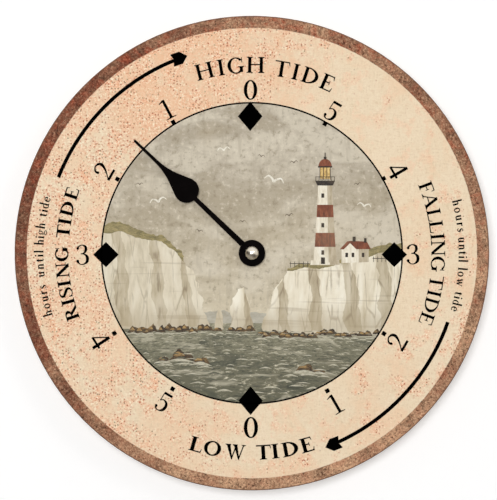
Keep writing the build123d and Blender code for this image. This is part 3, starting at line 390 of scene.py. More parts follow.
def make_sky():
    """Grey-buff cloud that pales towards the horizon, dabbed and brushed."""
    sky = Finish("painted_sky")
    height = sky.z / PICTURE_RADIUS
    banks = sky.grain(46, (0.8, 1, 1.5), detail=5, roughness=0.58, distortion=0.7)
    wisps = sky.grain(15, (0.45, 1, 1.3), detail=5, roughness=0.6, distortion=0.5)
    drawn = banks + 0.35 * (wisps - 0.5)
    sky.ground((196, 184, 160), (182, 171, 152), height.rise(-0.2, 0.75))
    sky.lay(214, 204, 184, 0.80 * (drawn + 0.04 * height).rise(0.46, 0.60))
    sky.lay(168, 155, 131, 0.60 * drawn.rise(0.48, 0.36))
    sky.lay(220, 208, 182, 0.66 * height.rise(-0.05, -0.5))
    dabs = sky.grain(4.2, detail=4, roughness=0.68)
    sky.lay(144, 131, 108, dabs.rise(0.52, 0.68) * 0.62)
    sky.lay(226, 216, 196, dabs.rise(0.46, 0.33) * 0.56)
    brush = sky.grain(2.6, (1, 1, 0.16), detail=4)
    sky.lay(168, 157, 137, brush.rise(0.5, 0.72) * 0.32)
    return sky.aged(0.6 + 0.15 * brush, 0.02 * brush)


def make_sea():
    """Swell drawn in perspective: small at the horizon and larger near the bottom."""
    sea = Finish("painted_sea")
    at_horizon, at_bottom = 7, 52
    near = (HORIZON - sea.z).larger(0.0) + at_horizon
    across = sea.x / near
    down = near.logarithm(math.e)
    swell = sea.point(across * 5.0, 0.0, down * 19.0)
    swell = sea.grain(1.0, swell, detail=4, roughness=0.62, distortion=0.8)
    chop = sea.point(across * 17.0, 5.0, down * 44.0)
    chop = sea.grain(1.0, chop, detail=3, roughness=0.6, distortion=0.4)
    sea.ground((138, 134, 110), (98, 96, 76), near.rise(at_horizon, at_bottom) ** 0.6)
    sea.lay(56, 58, 48, (swell * 0.7 + chop * 0.3).rise(0.48, 0.36) * 0.85)
    sea.lay(196, 188, 162, (swell * 0.6 + chop * 0.4).rise(0.53, 0.64) * 0.85)
    drift = sea.grain(13, (0.4, 1, 1.4), detail=5, roughness=0.65, distortion=0.8)
    sea.lay(210, 202, 178, drift.rise(0.53, 0.66) * 0.50)
    sea.lay(58, 62, 50, drift.rise(0.47, 0.34) * 0.60)
    sea.lay(224, 216, 194, (swell * 0.5 + chop * 0.5).rise(0.605, 0.66) * 0.85)
    return sea.aged(0.5 + 0.2 * chop, 0.02 * chop)


# Finishes of the board, the movement and the metal
def make_board():
    """Fine fibre board: raw and mealy at the back, stained dark on its turned edge."""
    board = Finish("fibre_board")
    stain_depth, soft = 2.0, 0.6
    fibres = board.grain(0.9, (1, 1, 0.35), detail=4, roughness=0.65, distortion=1.2)
    crossed = board.grain(0.8, (0.3, 1, 1), detail=4, roughness=0.65, distortion=1.0)
    clumps = board.grain(3.2, detail=5, roughness=0.7)
    meal = 0.30 * clumps + 0.35 * fibres + 0.35 * crossed
    board.ground((160, 126, 90), (182, 149, 111), meal.rise(0.40, 0.60))
    board.lay(116, 86, 60, fibres.rise(0.60, 0.72) * 0.55)
    board.lay(104, 76, 52, crossed.rise(0.63, 0.74) * 0.45)
    board.lay(208, 182, 146, fibres.rise(0.40, 0.30) * 0.4)
    board.lay(156, 128, 98, 0.25 * board.grain(90, detail=3).rise(0.45, 0.7))
    turned = board.grain(0.4, (0.05, 2.5, 0.05), detail=2)
    stain = board.between((104, 70, 52), (140, 102, 78), (0.5 * clumps + 0.5 * turned).rise(0.35, 0.68))
    ragged = board.radius + 1.6 * (board.grain(3.5, detail=3) - 0.5)
    stained = ragged.rise(BOARD_RADIUS - stain_depth - soft, BOARD_RADIUS - stain_depth + soft)
    board.cover(stain, stained)
    relief = 0.05 * fibres + 0.03 * turned * stained
    return board.surface(0.86 - 0.12 * stained + 0.08 * fibres, relief, Specular_IOR_Level=0.15)


def make_plastic(name, colour, pale, roughness=0.42, grain=0.35, depth=0.012, marks=None):
    """Moulded plastic: spark-eroded grain, faint flow marks, scuffs and dust; marks are sunk into it."""
    plastic = Finish(name)
    texture = plastic.grain(grain, detail=2)
    flow = plastic.grain(18, (1, 1, 0.4), detail=3, distortion=0.8)
    scuffs = plastic.grain(3.0, (1, 0.5, 0.12), detail=3).rise(0.64, 0.76)
    plastic.ground(colour, pale, 0.35 * flow.rise(0.42, 0.66))
    plastic.lay(*pale, 0.45 * scuffs * plastic.grain(11).rise(0.5, 0.62))
    gloss = roughness + 0.10 * (texture - 0.5) + 0.12 * flow.rise(0.4, 0.7) + 0.1 * scuffs
    relief = depth * texture
    if marks:
        sunk = marks(plastic)
        plastic.lay(*pale, 0.75 * sunk)
        relief = relief - 0.22 * sunk
    return plastic.surface(gloss, relief, Specular_IOR_Level=0.45)


def cover_marks(plastic):
    """A frame, finger ribs, an arrow that turns both ways round the set knob, a plus and a minus."""
    margin, thin_line = 2.6, 0.25
    rib_pitch, ribs_half, ribs_tall, ribs_down = 1.6, 6.5, 3.2, 5.0
    ring_gap, head_width = 2.3, 0.55
    sign_line, sign_aside, sign_arm, sign_up = 0.28, 19.5, 1.3, 4.6
    low, high = [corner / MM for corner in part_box("rear_cover")]
    level = (low.z + high.z) / 2
    tall = (high.z - low.z) / 2 - margin
    over = (abs(plastic.x) - (high.x - margin)).larger(abs(plastic.z - level) - tall)
    marks = plastic.line(over, thin_line)
    ribs = plastic.z.ripple(rib_pitch).rise(0.0, 0.5) * plastic.line(plastic.x, ribs_half)
    marks = marks + ribs * plastic.line(plastic.z - (level + tall - ribs_down), ribs_tall)
    knob_low, knob_high = [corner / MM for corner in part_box("set_knob")]
    away = plastic.x - (knob_low.x + knob_high.x) / 2
    up = plastic.z - (knob_low.z + knob_high.z) / 2
    reach = knob_high.z + ring_gap
    ring = plastic.line(distance(away, up) - reach, sign_line) * up.rise(1.4, 1.6)
    heads = plastic.line(abs(abs(away) - reach) * 1.2 + abs(up - 0.9) - 0.5, head_width)
    marks = marks + ring.larger(heads)
    foot = plastic.z - (low.z + sign_up)
    minus = plastic.line(foot, sign_line) * plastic.line(plastic.x + sign_aside, sign_arm)
    plus_bar = plastic.line(foot, sign_line) * plastic.line(plastic.x - sign_aside, sign_arm)
    plus_post = plastic.line(foot, sign_arm) * plastic.line(plastic.x - sign_aside, sign_line)
    marks = marks + minus + plus_bar.larger(plus_post)
    return marks.smaller(1.0) * plastic.y.rise(-0.10, -0.02)


def make_metal(name, colour, shade, roughness=0.28, turned=True):
    """Turned metal has rings round its axis; rolled metal has straight lines."""
    metal = Finish(name)
    run = metal.point(metal.radius * 6.0, metal.y * 6.0) if turned else (5.0, 5.0, 0.12)
    lines = metal.grain(1.0, run, detail=3)
    cloud = metal.grain(2.6, detail=4, roughness=0.6)
    scratch = metal.grain(0.7, (1, 1, 0.06), detail=2).rise(0.68, 0.74)
    metal.ground(colour, shade, (0.6 * cloud + 0.4 * lines).rise(0.40, 0.66) * 0.7)
    metal.lay(*shade, 0.4 * scratch)
    gloss = roughness + 0.14 * (lines - 0.5) + 0.10 * cloud.rise(0.45, 0.7) + 0.1 * scratch
    return metal.surface(gloss, 0.006 * lines - 0.01 * scratch, Metallic=1.0)


def make_zinc():
    """Zinc plate on pressed steel, with rolling lines and dull fingermarks."""
    zinc = Finish("zinc_plated_steel")
    rolled = zinc.grain(1.2, (3.0, 3.0, 0.08), detail=3)
    flakes, _ = zinc.chances(zinc.cells(2.4))
    dull = zinc.grain(8, detail=4, roughness=0.6).rise(0.45, 0.65)
    zinc.ground((164, 166, 168), (140, 142, 146), 0.5 * rolled + 0.3 * flakes)
    zinc.lay(122, 120, 116, 0.40 * dull)
    gloss = 0.42 + 0.08 * dull + 0.06 * (rolled - 0.5) + 0.03 * flakes
    return zinc.surface(gloss, 0.006 * rolled, Metallic=1.0)


def make_hand_paint():
    """Satin black enamel on the stamped hand."""
    enamel = Finish("black_enamel")
    peel = enamel.grain(0.8, detail=2)
    dust = enamel.grain(0.5, detail=2).rise(0.70, 0.78)
    enamel.ground((3, 1, 1), (8, 4, 4), enamel.grain(9, detail=3).rise(0.4, 0.7))
    enamel.lay(44, 40, 38, 0.22 * dust)
    return enamel.surface(0.42 + 0.10 * peel + 0.1 * dust, 0.008 * peel, Specular_IOR_Level=0.01)


def make_winding():
    """Fine enamelled wire in close turns, with painted highlight on each turn and painted shade between
    turns.
    """
    copper = Finish("enamelled_copper_wire")
    turns = copper.z.ripple(0.22)
    lay = copper.grain(1.4, (0.3, 0.3, 2.5), detail=2)
    # painted highlight and shade: the colour follows the turns, lighter on each crown and darker in the
    # grooves between them
    copper.ground((176, 92, 48), (214, 132, 78), (0.5 + 0.5 * turns) * 0.6 + 0.4 * lay)
    return copper.surface(0.30 + 0.12 * lay, 0.03 * turns, Metallic=0.85)


def make_ferrite():
    """Pressed magnet powder, dark and finely pitted."""
    ferrite = Finish("pressed_ferrite")
    pores = ferrite.grain(0.25, detail=3)
    ferrite.ground((62, 62, 66), (92, 90, 92), pores.rise(0.4, 0.65))
    return ferrite.surface(0.55 + 0.15 * pores, 0.012 * pores, Metallic=0.35)


def make_circuit():
    """Green mask over tracks that run upright in some areas and level in others, with tinned pads."""
    card = Finish("circuit_card")
    pad_rim, pad_hole, soft = 0.14, 0.05, 0.03
    areas = card.cells(4.2, card.stretched(1, 0, 1), jitter=0.7)
    turned = card.chances(areas)[0].rise(0.47, 0.53)
    across, upward = card.x.ripple(1.3), card.z.ripple(1.3)
    tracks = (across * turned + upward * (1 - turned)).rise(0.05, 0.35)
    glass = card.grain(0.5, (1, 1, 0.3)) + card.grain(0.5, (0.3, 1, 1))
    card.ground((20, 78, 48), (42, 116, 66), 0.8 * tracks)
    card.lay(16, 60, 38, glass.rise(0.9, 1.2) * 0.4)
    pads = areas.rise(pad_rim + soft, pad_rim) * areas.rise(pad_hole, pad_hole + soft)
    card.lay(204, 204, 200, pads)
    return card.surface(0.30 + 0.1 * glass, 0.03 * tracks + 0.03 * pads, Metallic=0.8 * pads)


def make_epoxy():
    """A glossy black drop of resin."""
    epoxy = Finish("black_epoxy")
    ripple = epoxy.grain(1.6, detail=3, distortion=0.6)
    epoxy.ground((16, 16, 18), (40, 40, 42), ripple.rise(0.45, 0.7) * 0.6)
    return epoxy.surface(0.22 + 0.12 * ripple, 0.04 * ripple, Specular_IOR_Level=0.5)


def make_rubber():
    """Black rubber with a grey bloom."""
    rubber = Finish("black_rubber")
    bloom = rubber.grain(1.8, detail=4).rise(0.45, 0.7)
    grit = rubber.grain(0.3, detail=2)
    rubber.ground((28, 27, 27), (66, 64, 62), 0.5 * bloom)
    return rubber.surface(0.78 + 0.12 * grit, 0.02 * grit, Specular_IOR_Level=0.3)


def make_battery_wrap():
    """Plain shrink sleeve: a sage-green body with a pale band at the positive end."""
    sleeve = Finish("battery_sleeve")
    low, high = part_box("battery_cell")
    along = (sleeve.x - low.x / MM) / ((high.x - low.x) / MM)
    wrap = sleeve.grain(9, (0.2, 1, 1), detail=3).rise(0.35, 0.7)
    sleeve.ground((92, 112, 96), (112, 132, 114), wrap)
    sleeve.cover(sleeve.between((206, 202, 184), (222, 218, 202), wrap), along.rise(0.845, 0.850))
    sleeve.lay(214, 212, 200, along.rise(0.822, 0.825) * along.rise(0.834, 0.831))
    sleeve.lay(196, 196, 194, along.rise(0.010, 0.006))
    creases = sleeve.grain(1.2, (0.15, 1, 1), detail=2)
    return sleeve.surface(0.26 + 0.12 * creases, 0.01 * creases, Coat_Weight=0.3)


# Outlines: each is a list of (x, y) round one patch of ink
def bar(x0, y0, x1, y1, width):
    """A straight stroke whose ends are cut level."""
    half = width / 2
    return [(x0 - half, y0), (x0 + half, y0), (x1 + half, y1), (x1 - half, y1)]


def slab(left, right, low, high):
    return [(left, low), (right, low), (right, high), (left, high)]


def smoothed(before, start, end, after, t):
    """A value on the smooth curve from start to end that leans on its neighbours; t goes from 0 to 1."""
    square = (2 * before - 5 * start + 4 * end - after) * t * t
    cube = (3 * start - before - 3 * end + after) * t ** 3
    return 0.5 * (2 * start + (end - before) * t + square + cube)


def smooth_line(points, steps):
    """Points along a smooth line through the given ones; each point may carry a width."""
    padded = [points[0]] + list(points) + [points[-1]]
    line = []
    for ends in zip(padded, padded[1:], padded[2:], padded[3:]):
        for step in range(steps):
            line.append(tuple(smoothed(*values, step / steps) for values in zip(*ends)))
    line.append(tuple(points[-1]))
    return line


def ribbon(points, steps=6):
    """A smooth stroke through points (x, y, width)."""
    line = smooth_line(points, steps)
    left, right = [], []
    for index, (x, y, width) in enumerate(line):
        before = line[max(index - 1, 0)]
        after = line[min(index + 1, len(line) - 1)]
        run = Vector((after[0] - before[0], after[1] - before[1])).normalized()
        left.append((x - run.y * width / 2, y + run.x * width / 2))
        right.append((x + run.y * width / 2, y - run.x * width / 2))
    return left + right[::-1]


def arc(x, y, radius_x, radius_y, start, end, steps=24):
    """Points on an oval, in degrees from its right-hand side."""
    turns = [math.radians(start + (end - start) * step / steps) for step in range(steps + 1)]
    return [(x + radius_x * math.cos(turn), y + radius_y * math.sin(turn)) for turn in turns]


def ball(x, y, radius):
    return arc(x, y, radius, radius, 0, 345, 23)


def bowl(x, y, radius_x, radius_y, start, end, thick, thin, steps=24):
    """Part of an oval ring, thick at its sides and thin at its top and bottom."""
    outer = arc(x, y, radius_x, radius_y, start, end, steps)
    inner = arc(x, y, radius_x - thick, radius_y - thin, start, end, steps)
    return outer + inner[::-1]


def oval(x, y, radius_x, radius_y, thick, thin):
    """A whole oval ring, in two halves."""
    return [bowl(x, y, radius_x, radius_y, start, start + 180, thick, thin) for start in (-90, 90)]


def serif(x, y, reach, stem, up, thin=0.045, bracket=0.13):
    """The foot of a stem, with a curved bracket; up is -1 for the head."""
    steps = 5
    curve = []
    for step in range(steps + 1):
        t = step / steps
        curve.append((stem / 2 + (reach - stem / 2) * (1 - t) ** 2, up * (thin + (bracket - thin) * t ** 2)))
    right = [(x + aside, y + rise) for aside, rise in curve]
    left = [(x - aside, y + rise) for aside, rise in curve[-2::-1]]
    return [(x - reach, y), (x + reach, y)] + right + left


def column(x, stem, reach=None, high=True):
    """An upright as tall as the letter, with its serifs."""
    reach = reach or stem
    parts = [bar(x, 0, x, 1, stem), serif(x, 0, reach, stem, 1)]
    return parts + [serif(x, 1, reach, stem, -1)] if high else parts


def beak(x, y, height, lean, hair):
    """The upright spur that ends an arm; it swells towards its tip."""
    tip = 0.025
    return [(x - hair, y), (x, y), (x + lean, y + height), (x + lean - tip, y + height)]


def capital_letters(stem):
    """Capitals on a height of 1, with uprights of that thickness and hairlines two fifths of it."""
    hair = 0.4 * stem
    side = stem + 0.015
    arm = [slab(0.18, 0.66, 1 - hair, 1.0), beak(0.68, 1.0, -0.25, 0.03, 0.08)]
    middle = [slab(0.18, 0.52, 0.48, 0.48 + hair), slab(0.485, 0.525, 0.385, 0.645)]
    foot = [slab(0.18, 0.70, 0.0, hair), beak(0.72, 0.0, 0.28, 0.04, 0.08)]
    bowl_d = bowl(0.30, 0.5, 0.64, 0.5, -90, 90, side, hair)
    link_d = [slab(0.1, 0.30, 0, hair), slab(0.1, 0.30, 1 - hair, 1)]
    bowl_r = bowl(0.36, 0.745, 0.34, 0.255, -90, 90, stem, hair)
    link_r = [slab(0.1, 0.36, 0.49, 0.49 + hair), slab(0.1, 0.36, 1 - hair, 1)]
    # the width of the S is a share of the upright's
    spine = [
        (0.62, 0.74, 0.24), (0.58, 0.90, 0.34), (0.38, 0.98, 0.31), (0.18, 0.88, 0.62),
        (0.17, 0.70, 0.81), (0.38, 0.53, 0.95), (0.57, 0.38, 0.90), (0.60, 0.17, 0.67),
        (0.38, 0.02, 0.31), (0.16, 0.08, 0.33), (0.09, 0.27, 0.24),
    ]
    post = column(0.2, stem)
    left, right, second = 0.125 - stem / 2, 0.125 + stem / 2, 0.41
    return {
        "A": [
            bar(0.12, 0, 0.49, 1, hair), bar(0.83, 0, 0.49, 1, stem + 0.01),
            slab(0.22, 0.72, 0.31, 0.31 + hair),
            serif(0.12, 0, 0.16, hair, 1), serif(0.83, 0, 0.19, stem, 1),
        ],
        "D": post + [bowl_d] + link_d,
        "E": post + arm + middle + foot,
        "F": post + arm + middle,
        "G": [
            bowl(0.50, 0.5, 0.48, 0.515, 38, 322, side, hair), slab(0.835, 0.88, 0.67, 0.985),
            bar(0.80, 0.09, 0.80, 0.42, stem), serif(0.80, 0.44, 0.18, stem, -1),
            slab(0.72, 0.88, 0.06, 0.18),
        ],
        "H": post + column(0.86, stem) + [slab(0.2, 0.86, 0.49, 0.49 + hair)],
        "I": post,
        "L": post + foot,
        "N": column(0.16, hair, 0.16) + [
            bar(0.14, 1, 0.84, 0, stem + 0.04), bar(0.84, 0, 0.84, 1, hair), serif(0.84, 1, 0.16, hair, -1),
        ],
        "O": oval(0.52, 0.5, 0.50, 0.515, stem - 0.01, hair),
        "R": post + [bowl_r] + link_r + [
            bar(0.42, 0.51, 0.84, 0, stem + 0.025), slab(0.76, 1.0, 0, 0.045),
        ],
        "S": [
            ribbon([(x, y, share * stem) for x, y, share in spine], 8),
            slab(0.605, 0.65, 0.69, 1.0), slab(0.055, 0.10, 0.0, 0.33),
        ],
        "T": column(0.46, stem, high=False) + [
            slab(0.05, 0.87, 1 - hair, 1.0), beak(0.89, 1.0, -0.28, 0.04, 0.09),
            beak(0.05, 1.0, -0.28, -0.02, -0.07),
        ],
        "W": [
            [(left, 1.0), (right, 1.0), (0.41, 0.0), (0.37, -0.07), (0.33, 0.0)],
            [(0.33, 0.0), (0.37, -0.07), (0.40, 0.0), (0.60, 0.86), (0.55, 0.92)],
            [(left + second, 1.0), (right + second, 1.0), (0.82, 0.0), (0.78, -0.07), (0.74, 0.0)],
            [(0.74, 0.0), (0.78, -0.07), (0.81, 0.0), (1.06, 1.0), (0.99, 1.0)],
            serif(0.125, 1, 0.17, stem, -1), serif(0.535, 1, 0.15, stem, -1),
            serif(1.025, 1, 0.13, 0.06, -1),
        ],
    }


def small_letters():
    """Lower case on an ascender height of 1."""
    stem, top, flag, foot = 0.168, 0.58, 0.13, (0.12, 0.168, 1, 0.035, 0.08)

    def post(x, head=top, low=True):
        side = x + stem / 2
        notch = [(x - flag, head - 0.05), (side, head + 0.01), (side, head - 0.09), (x, head - 0.09)]
        parts = [bar(x, 0, x, head, stem), notch]
        return parts + [serif(x, 0, *foot)] if low else parts

    arch = ribbon([
        (0.15, 0.39, 0.04), (0.22, 0.50, 0.075), (0.34, 0.55, 0.10), (0.43, 0.47, 0.13), (0.44, 0.34, stem),
    ])
    arched = [arch, bar(0.44, 0, 0.44, 0.38, stem), serif(0.44, 0, *foot)]
    cup = ribbon([
        (0.13, 0.22, stem), (0.16, 0.08, 0.12), (0.26, 0.03, 0.09), (0.37, 0.08, 0.065), (0.44, 0.17, 0.04),
    ])
    return {
        "d": [bowl(0.29, 0.28, 0.26, 0.305, 60, 300, 0.140, 0.070)] + post(0.45, 1.0, False) + [
            slab(0.45, 0.57, 0, 0.06),
        ],
        "e": [bowl(0.28, 0.29, 0.26, 0.31, 0, 318, 0.145, 0.070), slab(0.1, 0.51, 0.29, 0.350)],
        "g": oval(0.24, 0.38, 0.20, 0.21, 0.105, 0.055) + oval(0.26, -0.12, 0.26, 0.15, 0.085, 0.060) + [
            ribbon([(0.14, 0.24, 0.06), (0.08, 0.14, 0.07), (0.16, 0.05, 0.085), (0.34, 0.01, 0.10)]),
            slab(0.38, 0.52, 0.50, 0.555),
        ],
        "h": post(0.13, 1.0) + arched,
        "i": post(0.13) + [ball(0.12, 0.80, 0.08)],
        "l": post(0.13, 1.0),
        "n": post(0.13) + arched,
        "o": oval(0.29, 0.29, 0.27, 0.31, 0.150, 0.075),
        "r": post(0.13) + [
            ribbon([(0.16, 0.37, 0.04), (0.22, 0.49, 0.08), (0.33, 0.52, 0.13), (0.38, 0.48, 0.12)]),
        ],
        "s": [ribbon([
            (0.34, 0.43, 0.05), (0.30, 0.54, 0.065), (0.20, 0.56, 0.065), (0.11, 0.47, 0.11),
            (0.15, 0.35, 0.145), (0.28, 0.25, 0.145), (0.34, 0.12, 0.11), (0.22, 0.02, 0.065),
            (0.10, 0.05, 0.065), (0.06, 0.16, 0.05),
        ])],
        "t": [
            bar(0.15, 0.12, 0.15, 0.72, stem), slab(0.01, 0.34, 0.515, 0.58),
            ribbon([(0.15, 0.16, stem), (0.17, 0.06, 0.11), (0.25, 0.03, 0.075), (0.34, 0.08, 0.05)]),
        ],
        "u": post(0.13, low=False)[1:] + [bar(0.13, 0.18, 0.13, top, stem), cup] + post(0.44),
        "w": [
            bar(0.08, top, 0.25, 0, 0.145), bar(0.25, 0, 0.40, 0.52, 0.065), bar(0.36, top, 0.53, 0, 0.145),
            bar(0.53, 0, 0.70, top, 0.065), slab(0.0, 0.2, 0.54, top), slab(0.29, 0.47, 0.54, top),
            slab(0.62, 0.79, 0.54, top),
        ],
    }


def numerals():
    """Figures 0 to 5 on a height of 1."""
    return {
        "0": oval(0.34, 0.5, 0.345, 0.51, 0.175, 0.06),
        "1": [
            bar(0.30, 0, 0.30, 1, 0.14), [(0.24, 1.0), (0.03, 0.90), (0.03, 0.865), (0.24, 0.91)],
            serif(0.30, 0, 0.27, 0.14, 1, 0.04, 0.09),
        ],
        "2": [
            ribbon([
                (0.10, 0.70, 0.11), (0.12, 0.85, 0.09), (0.30, 0.965, 0.06), (0.50, 0.89, 0.12),
                (0.555, 0.72, 0.145), (0.46, 0.50, 0.10), (0.28, 0.28, 0.06), (0.08, 0.09, 0.05),
            ], 8),
            slab(0.045, 0.65, 0, 0.125), ball(0.115, 0.70, 0.07),
        ],
        "3": [
            ribbon([
                (0.08, 0.80, 0.10), (0.16, 0.91, 0.07), (0.31, 0.965, 0.05), (0.47, 0.88, 0.12),
                (0.48, 0.70, 0.13), (0.38, 0.57, 0.06), (0.24, 0.535, 0.04),
            ], 8),
            ribbon([
                (0.24, 0.535, 0.04), (0.42, 0.52, 0.07), (0.555, 0.38, 0.14), (0.55, 0.17, 0.14),
                (0.40, 0.035, 0.06), (0.22, 0.03, 0.05), (0.08, 0.16, 0.10),
            ], 8),
            ball(0.09, 0.80, 0.065), ball(0.09, 0.18, 0.07),
        ],
        "4": [
            bar(0.49, 0, 0.49, 1, 0.145), slab(0.02, 0.68, 0.225, 0.335), bar(0.045, 0.28, 0.47, 0.99, 0.07),
        ],
        "5": [
            slab(0.15, 0.60, 0.875, 1.0), bar(0.145, 0.50, 0.165, 0.95, 0.045),
            ribbon([
                (0.14, 0.52, 0.045), (0.30, 0.605, 0.06), (0.48, 0.52, 0.12), (0.54, 0.32, 0.15),
                (0.46, 0.11, 0.12), (0.28, 0.025, 0.05), (0.14, 0.06, 0.07), (0.09, 0.17, 0.11),
            ], 8),
            ball(0.10, 0.18, 0.07),
        ],
    }


# Flat pieces from outlines
def area_of(outline):
    turned = outline[1:] + outline[:1]
    return sum(x0 * y1 - x1 * y0 for (x0, y0), (x1, y1) in zip(outline, turned)) / 2


def joined(outlines, limit=None):
    """The ground that any outline covers, inside the limit if there is one, as points and triangles."""
    points, rings = [], []
    for outline in outlines + ([limit] if limit else []):
        ring = outline if area_of(outline) > 0 else outline[::-1]
        rings.append(list(range(len(points), len(points) + len(ring))))
        points.extend(Vector(point) for point in ring)
    found, _, triangles, _, _, sources = delaunay_2d_cdt(points, [], rings, 1, 1e-6)
    last = len(outlines)
    kept = []
    for triangle, source in zip(triangles, sources):
        inked = any(number < last for number in source)
        if inked and (limit is None or last in source):
            kept.append(tuple(triangle))
    return [(point.x, point.y) for point in found], kept


def placed(patch, across, up, origin, scale):
    """A patch moved to the dial: across and up are its directions there."""
    points, triangles = patch
    moved = [
        (origin[0] + scale * (x * across[0] + y * up[0]), origin[1] + scale * (x * across[1] + y * up[1]))
        for x, y in points
    ]
    return moved, triangles


def add_object(name, data):
    made = bpy.data.objects.new(name, data)
    bpy.context.scene.collection.objects.link(made)
    return made


def add_mesh(name, corners, faces, material):
    mesh = bpy.data.meshes.new(name)
    mesh.from_pydata(corners, [], faces)
    mesh.materials.append(material)
    return add_object(name, mesh)


def make_sheet(name, patches, front, thickness, material):
    """A thin closed sheet on the face, from flat patches; front is its distance from the wall."""
    corners, faces = [], []
    for points, triangles in patches:
        first = len(corners)
        count = len(points)
        for depth in (front, front - thickness):
            corners += [(x * MM, -depth * MM, z * MM) for x, z in points]
        edges = {}
        for triangle in triangles:
            a, b, c = [points[number] for number in triangle]
            turn = (b[0] - a[0]) * (c[1] - a[1]) - (b[1] - a[1]) * (c[0] - a[0])
            triangle = triangle if turn > 0 else triangle[::-1]
            faces.append(tuple(first + number for number in triangle))
            faces.append(tuple(first + count + number for number in triangle[::-1]))
            for start, end in zip(triangle, triangle[1:] + triangle[:1]):
                edges[(start, end)] = True
        for start, end in edges:
            if (end, start) not in edges:
                faces.append((first + end, first + start, first + count + start, first + count + end))
    piece = add_mesh(name, corners, faces, material)
    drop_loose(piece.data)
    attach(piece, "clock")


def drop_loose(mesh):
    """Takes out the points that no face uses."""
    shape = bmesh.new()
    shape.from_mesh(mesh)
    bmesh.ops.delete(shape, geom=[v for v in shape.verts if not v.link_faces], context="VERTS")
    shape.to_mesh(mesh)
    shape.free()


# The print on the dial
INK = make_ink()
INK_FRONT = FACE_FRONT + PICTURE_LAYERS * LAYER_STEP + INK_THICKNESS
SMALLS = {letter: joined(parts) for letter, parts in small_letters().items()}
FIGURES = {letter: joined(parts) for letter, parts in numerals().items()}

# Big words: name, letters, angles clockwise from the top, middle radius and height in photo pixels, whether
# the tops point outward, width, thickness of an upright
BIG_WORDS = (
    ("word_high", "HIGH", (-14.6, -9.5, -4.9, 1.1), 188.2, 15.9, True, 1.10, 0.180),
    ("word_tide_above", "TIDE", (9.2, 13.6, 18.3, 23.9), 186.5, 15.9, True, 1.10, 0.185),
    ("word_falling", "FALLING", (69.5, 73.5, 78.2, 81.9, 84.9, 88.5, 93.4), 186.3, 13.8, True, 1.16, 0.174),
    ("word_tide_right", "TIDE", (99.0, 102.5, 106.2, 110.6), 186.7, 13.8, True, 1.16, 0.172),
    ("word_low", "LOW", (196.2, 191.4, 184.8), 199.2, 14.5, False, 1.18, 0.220),
    ("word_tide_below", "TIDE", (176.7, 173.3, 169.0, 164.0), 199.4, 14.5, False, 1.18, 0.215),
    ("word_rising", "RISING", (251.7, 255.1, 258.0, 260.8, 264.8, 269.7), 190.2, 13.1, True, 1.16, 0.205),
    ("word_tide_left", "TIDE", (276.5, 279.6, 283.5, 288.3), 189.8, 13.1, True, 1.16, 0.212),
)

# Small words: name, words with the angles where they start and end, baseline radius and ascender height in
# photo pixels
SMALL_WORDS = (
    ("words_until_high", (
        ("hours", 252.6, 261.4), ("until", 263.3, 270.8), ("high", 272.1, 278.2), ("tide", 279.9, 285.5),
    ), 208.5, 9.7),
    ("words_until_low", (
        ("hours", 75.2, 84.3), ("until", 85.5, 92.5), ("low", 93.9, 99.3), ("tide", 100.6, 106.2),
    ), 206.8, 9.7),
)

# Figures: centre from the dial's centre in photo pixels (right, up), degrees turned clockwise, height
FIGURE_PLACES = (
    ("0", -1.4, 163.2, 0, 19.5), ("5", 80.4, 142.1, 30, 20.0), ("4", 145.4, 82.8, 60, 20.0),
    ("3", 161.2, -1.0, 0, 20.4), ("2", 145.1, -88.5, -60, 20.0), ("1", 83.7, -150.6, -30, 20.0),
    ("0", -1.0, -174.4, 0, 20.7), ("5", -88.6, -148.9, 30, 20.0), ("4", -152.3, -87.3, 57, 20.0),
    ("3", -169.2, -1.5, 0, 20.4), ("2", -148.2, 82.4, -60, 20.0), ("1", -84.7, 144.0, -28, 20.0),
)

# Diamonds: centre right and up, width and height, in photo pixels
DIAMONDS = (
    (-1.7, 136.8, 24.6, 29.5), (-1.3, -147.6, 24.3, 28.7),
    (-145.9, -1.5, 25.5, 25.2), (142.3, -1.5, 25.5, 25.0),
)

# Square dots: centre right and up in photo pixels
DOT_SIZE = 4.2 * PIXEL
DOTS = (
    (-78.7, 130.9), (-134.5, 74.0), (73.1, 129.3), (131.8, 74.5),
    (132.0, -80.5), (75.4, -137.7), (-79.3, -135.8), (-137.5, -80.2),
)

# Arrows: degrees clockwise from the top where each starts and where its tip is
ARROWS = ((291.4, 341.9), (109.4, 159.3))
ARROW_HALF = 1.8 * PIXEL
ARROW_NECK = 3.6
# corners of the head in millimetres: how far behind the tip, and how far outward
ARROW_HEAD = ((0, 0), (4.4, -4.1), (10.4, -4.0), (9.0, 0), (10.4, 4.0), (4.4, 4.1))


def print_ink(name, patches):
    make_sheet(name, patches, INK_FRONT, INK_FRONT - FACE_FRONT + SHEET_BITE, INK)


def dial_point(angle, radius):
    """A point at degrees clockwise from the top."""
    turn = math.radians(angle)
    return (radius * math.sin(turn), radius * math.cos(turn))


def ends_of(patch):
    """The left-hand and right-hand ends of a letter."""
    across = [point[0] for point in patch[0]]
    return min(across), max(across)


def centred(patch, across, up, centre, height):
    """A letter of that height with its middle at centre; across and up are its directions there."""
    left, right = ends_of(patch)
    shift = -height * (left + right) / 2
    origin = [middle + shift * x - height / 2 * y for middle, x, y in zip(centre, across, up)]
    return placed(patch, across, up, origin, height)


def set_letter(patch, angle, mid_radius, height, outward=True, widened=1.0):
    """A letter centred on an angle of the dial, with its top outward or inward."""
    away = dial_point(angle, 1.0)
    side = 1 if outward else -1
    across = (side * away[1] * widened, -side * away[0] * widened)
    up = (side * away[0], side * away[1])
    return centred(patch, across, up, dial_point(angle, mid_radius), height)


def print_big_words():
    for name, letters, angles, radius, height, outward, widened, stem in BIG_WORDS:
        shapes = capital_letters(stem)
        print_ink(name, [
            set_letter(joined(shapes[letter]), angle, radius * PIXEL, height * PIXEL, outward, widened)
            for letter, angle in zip(letters, angles)
        ])


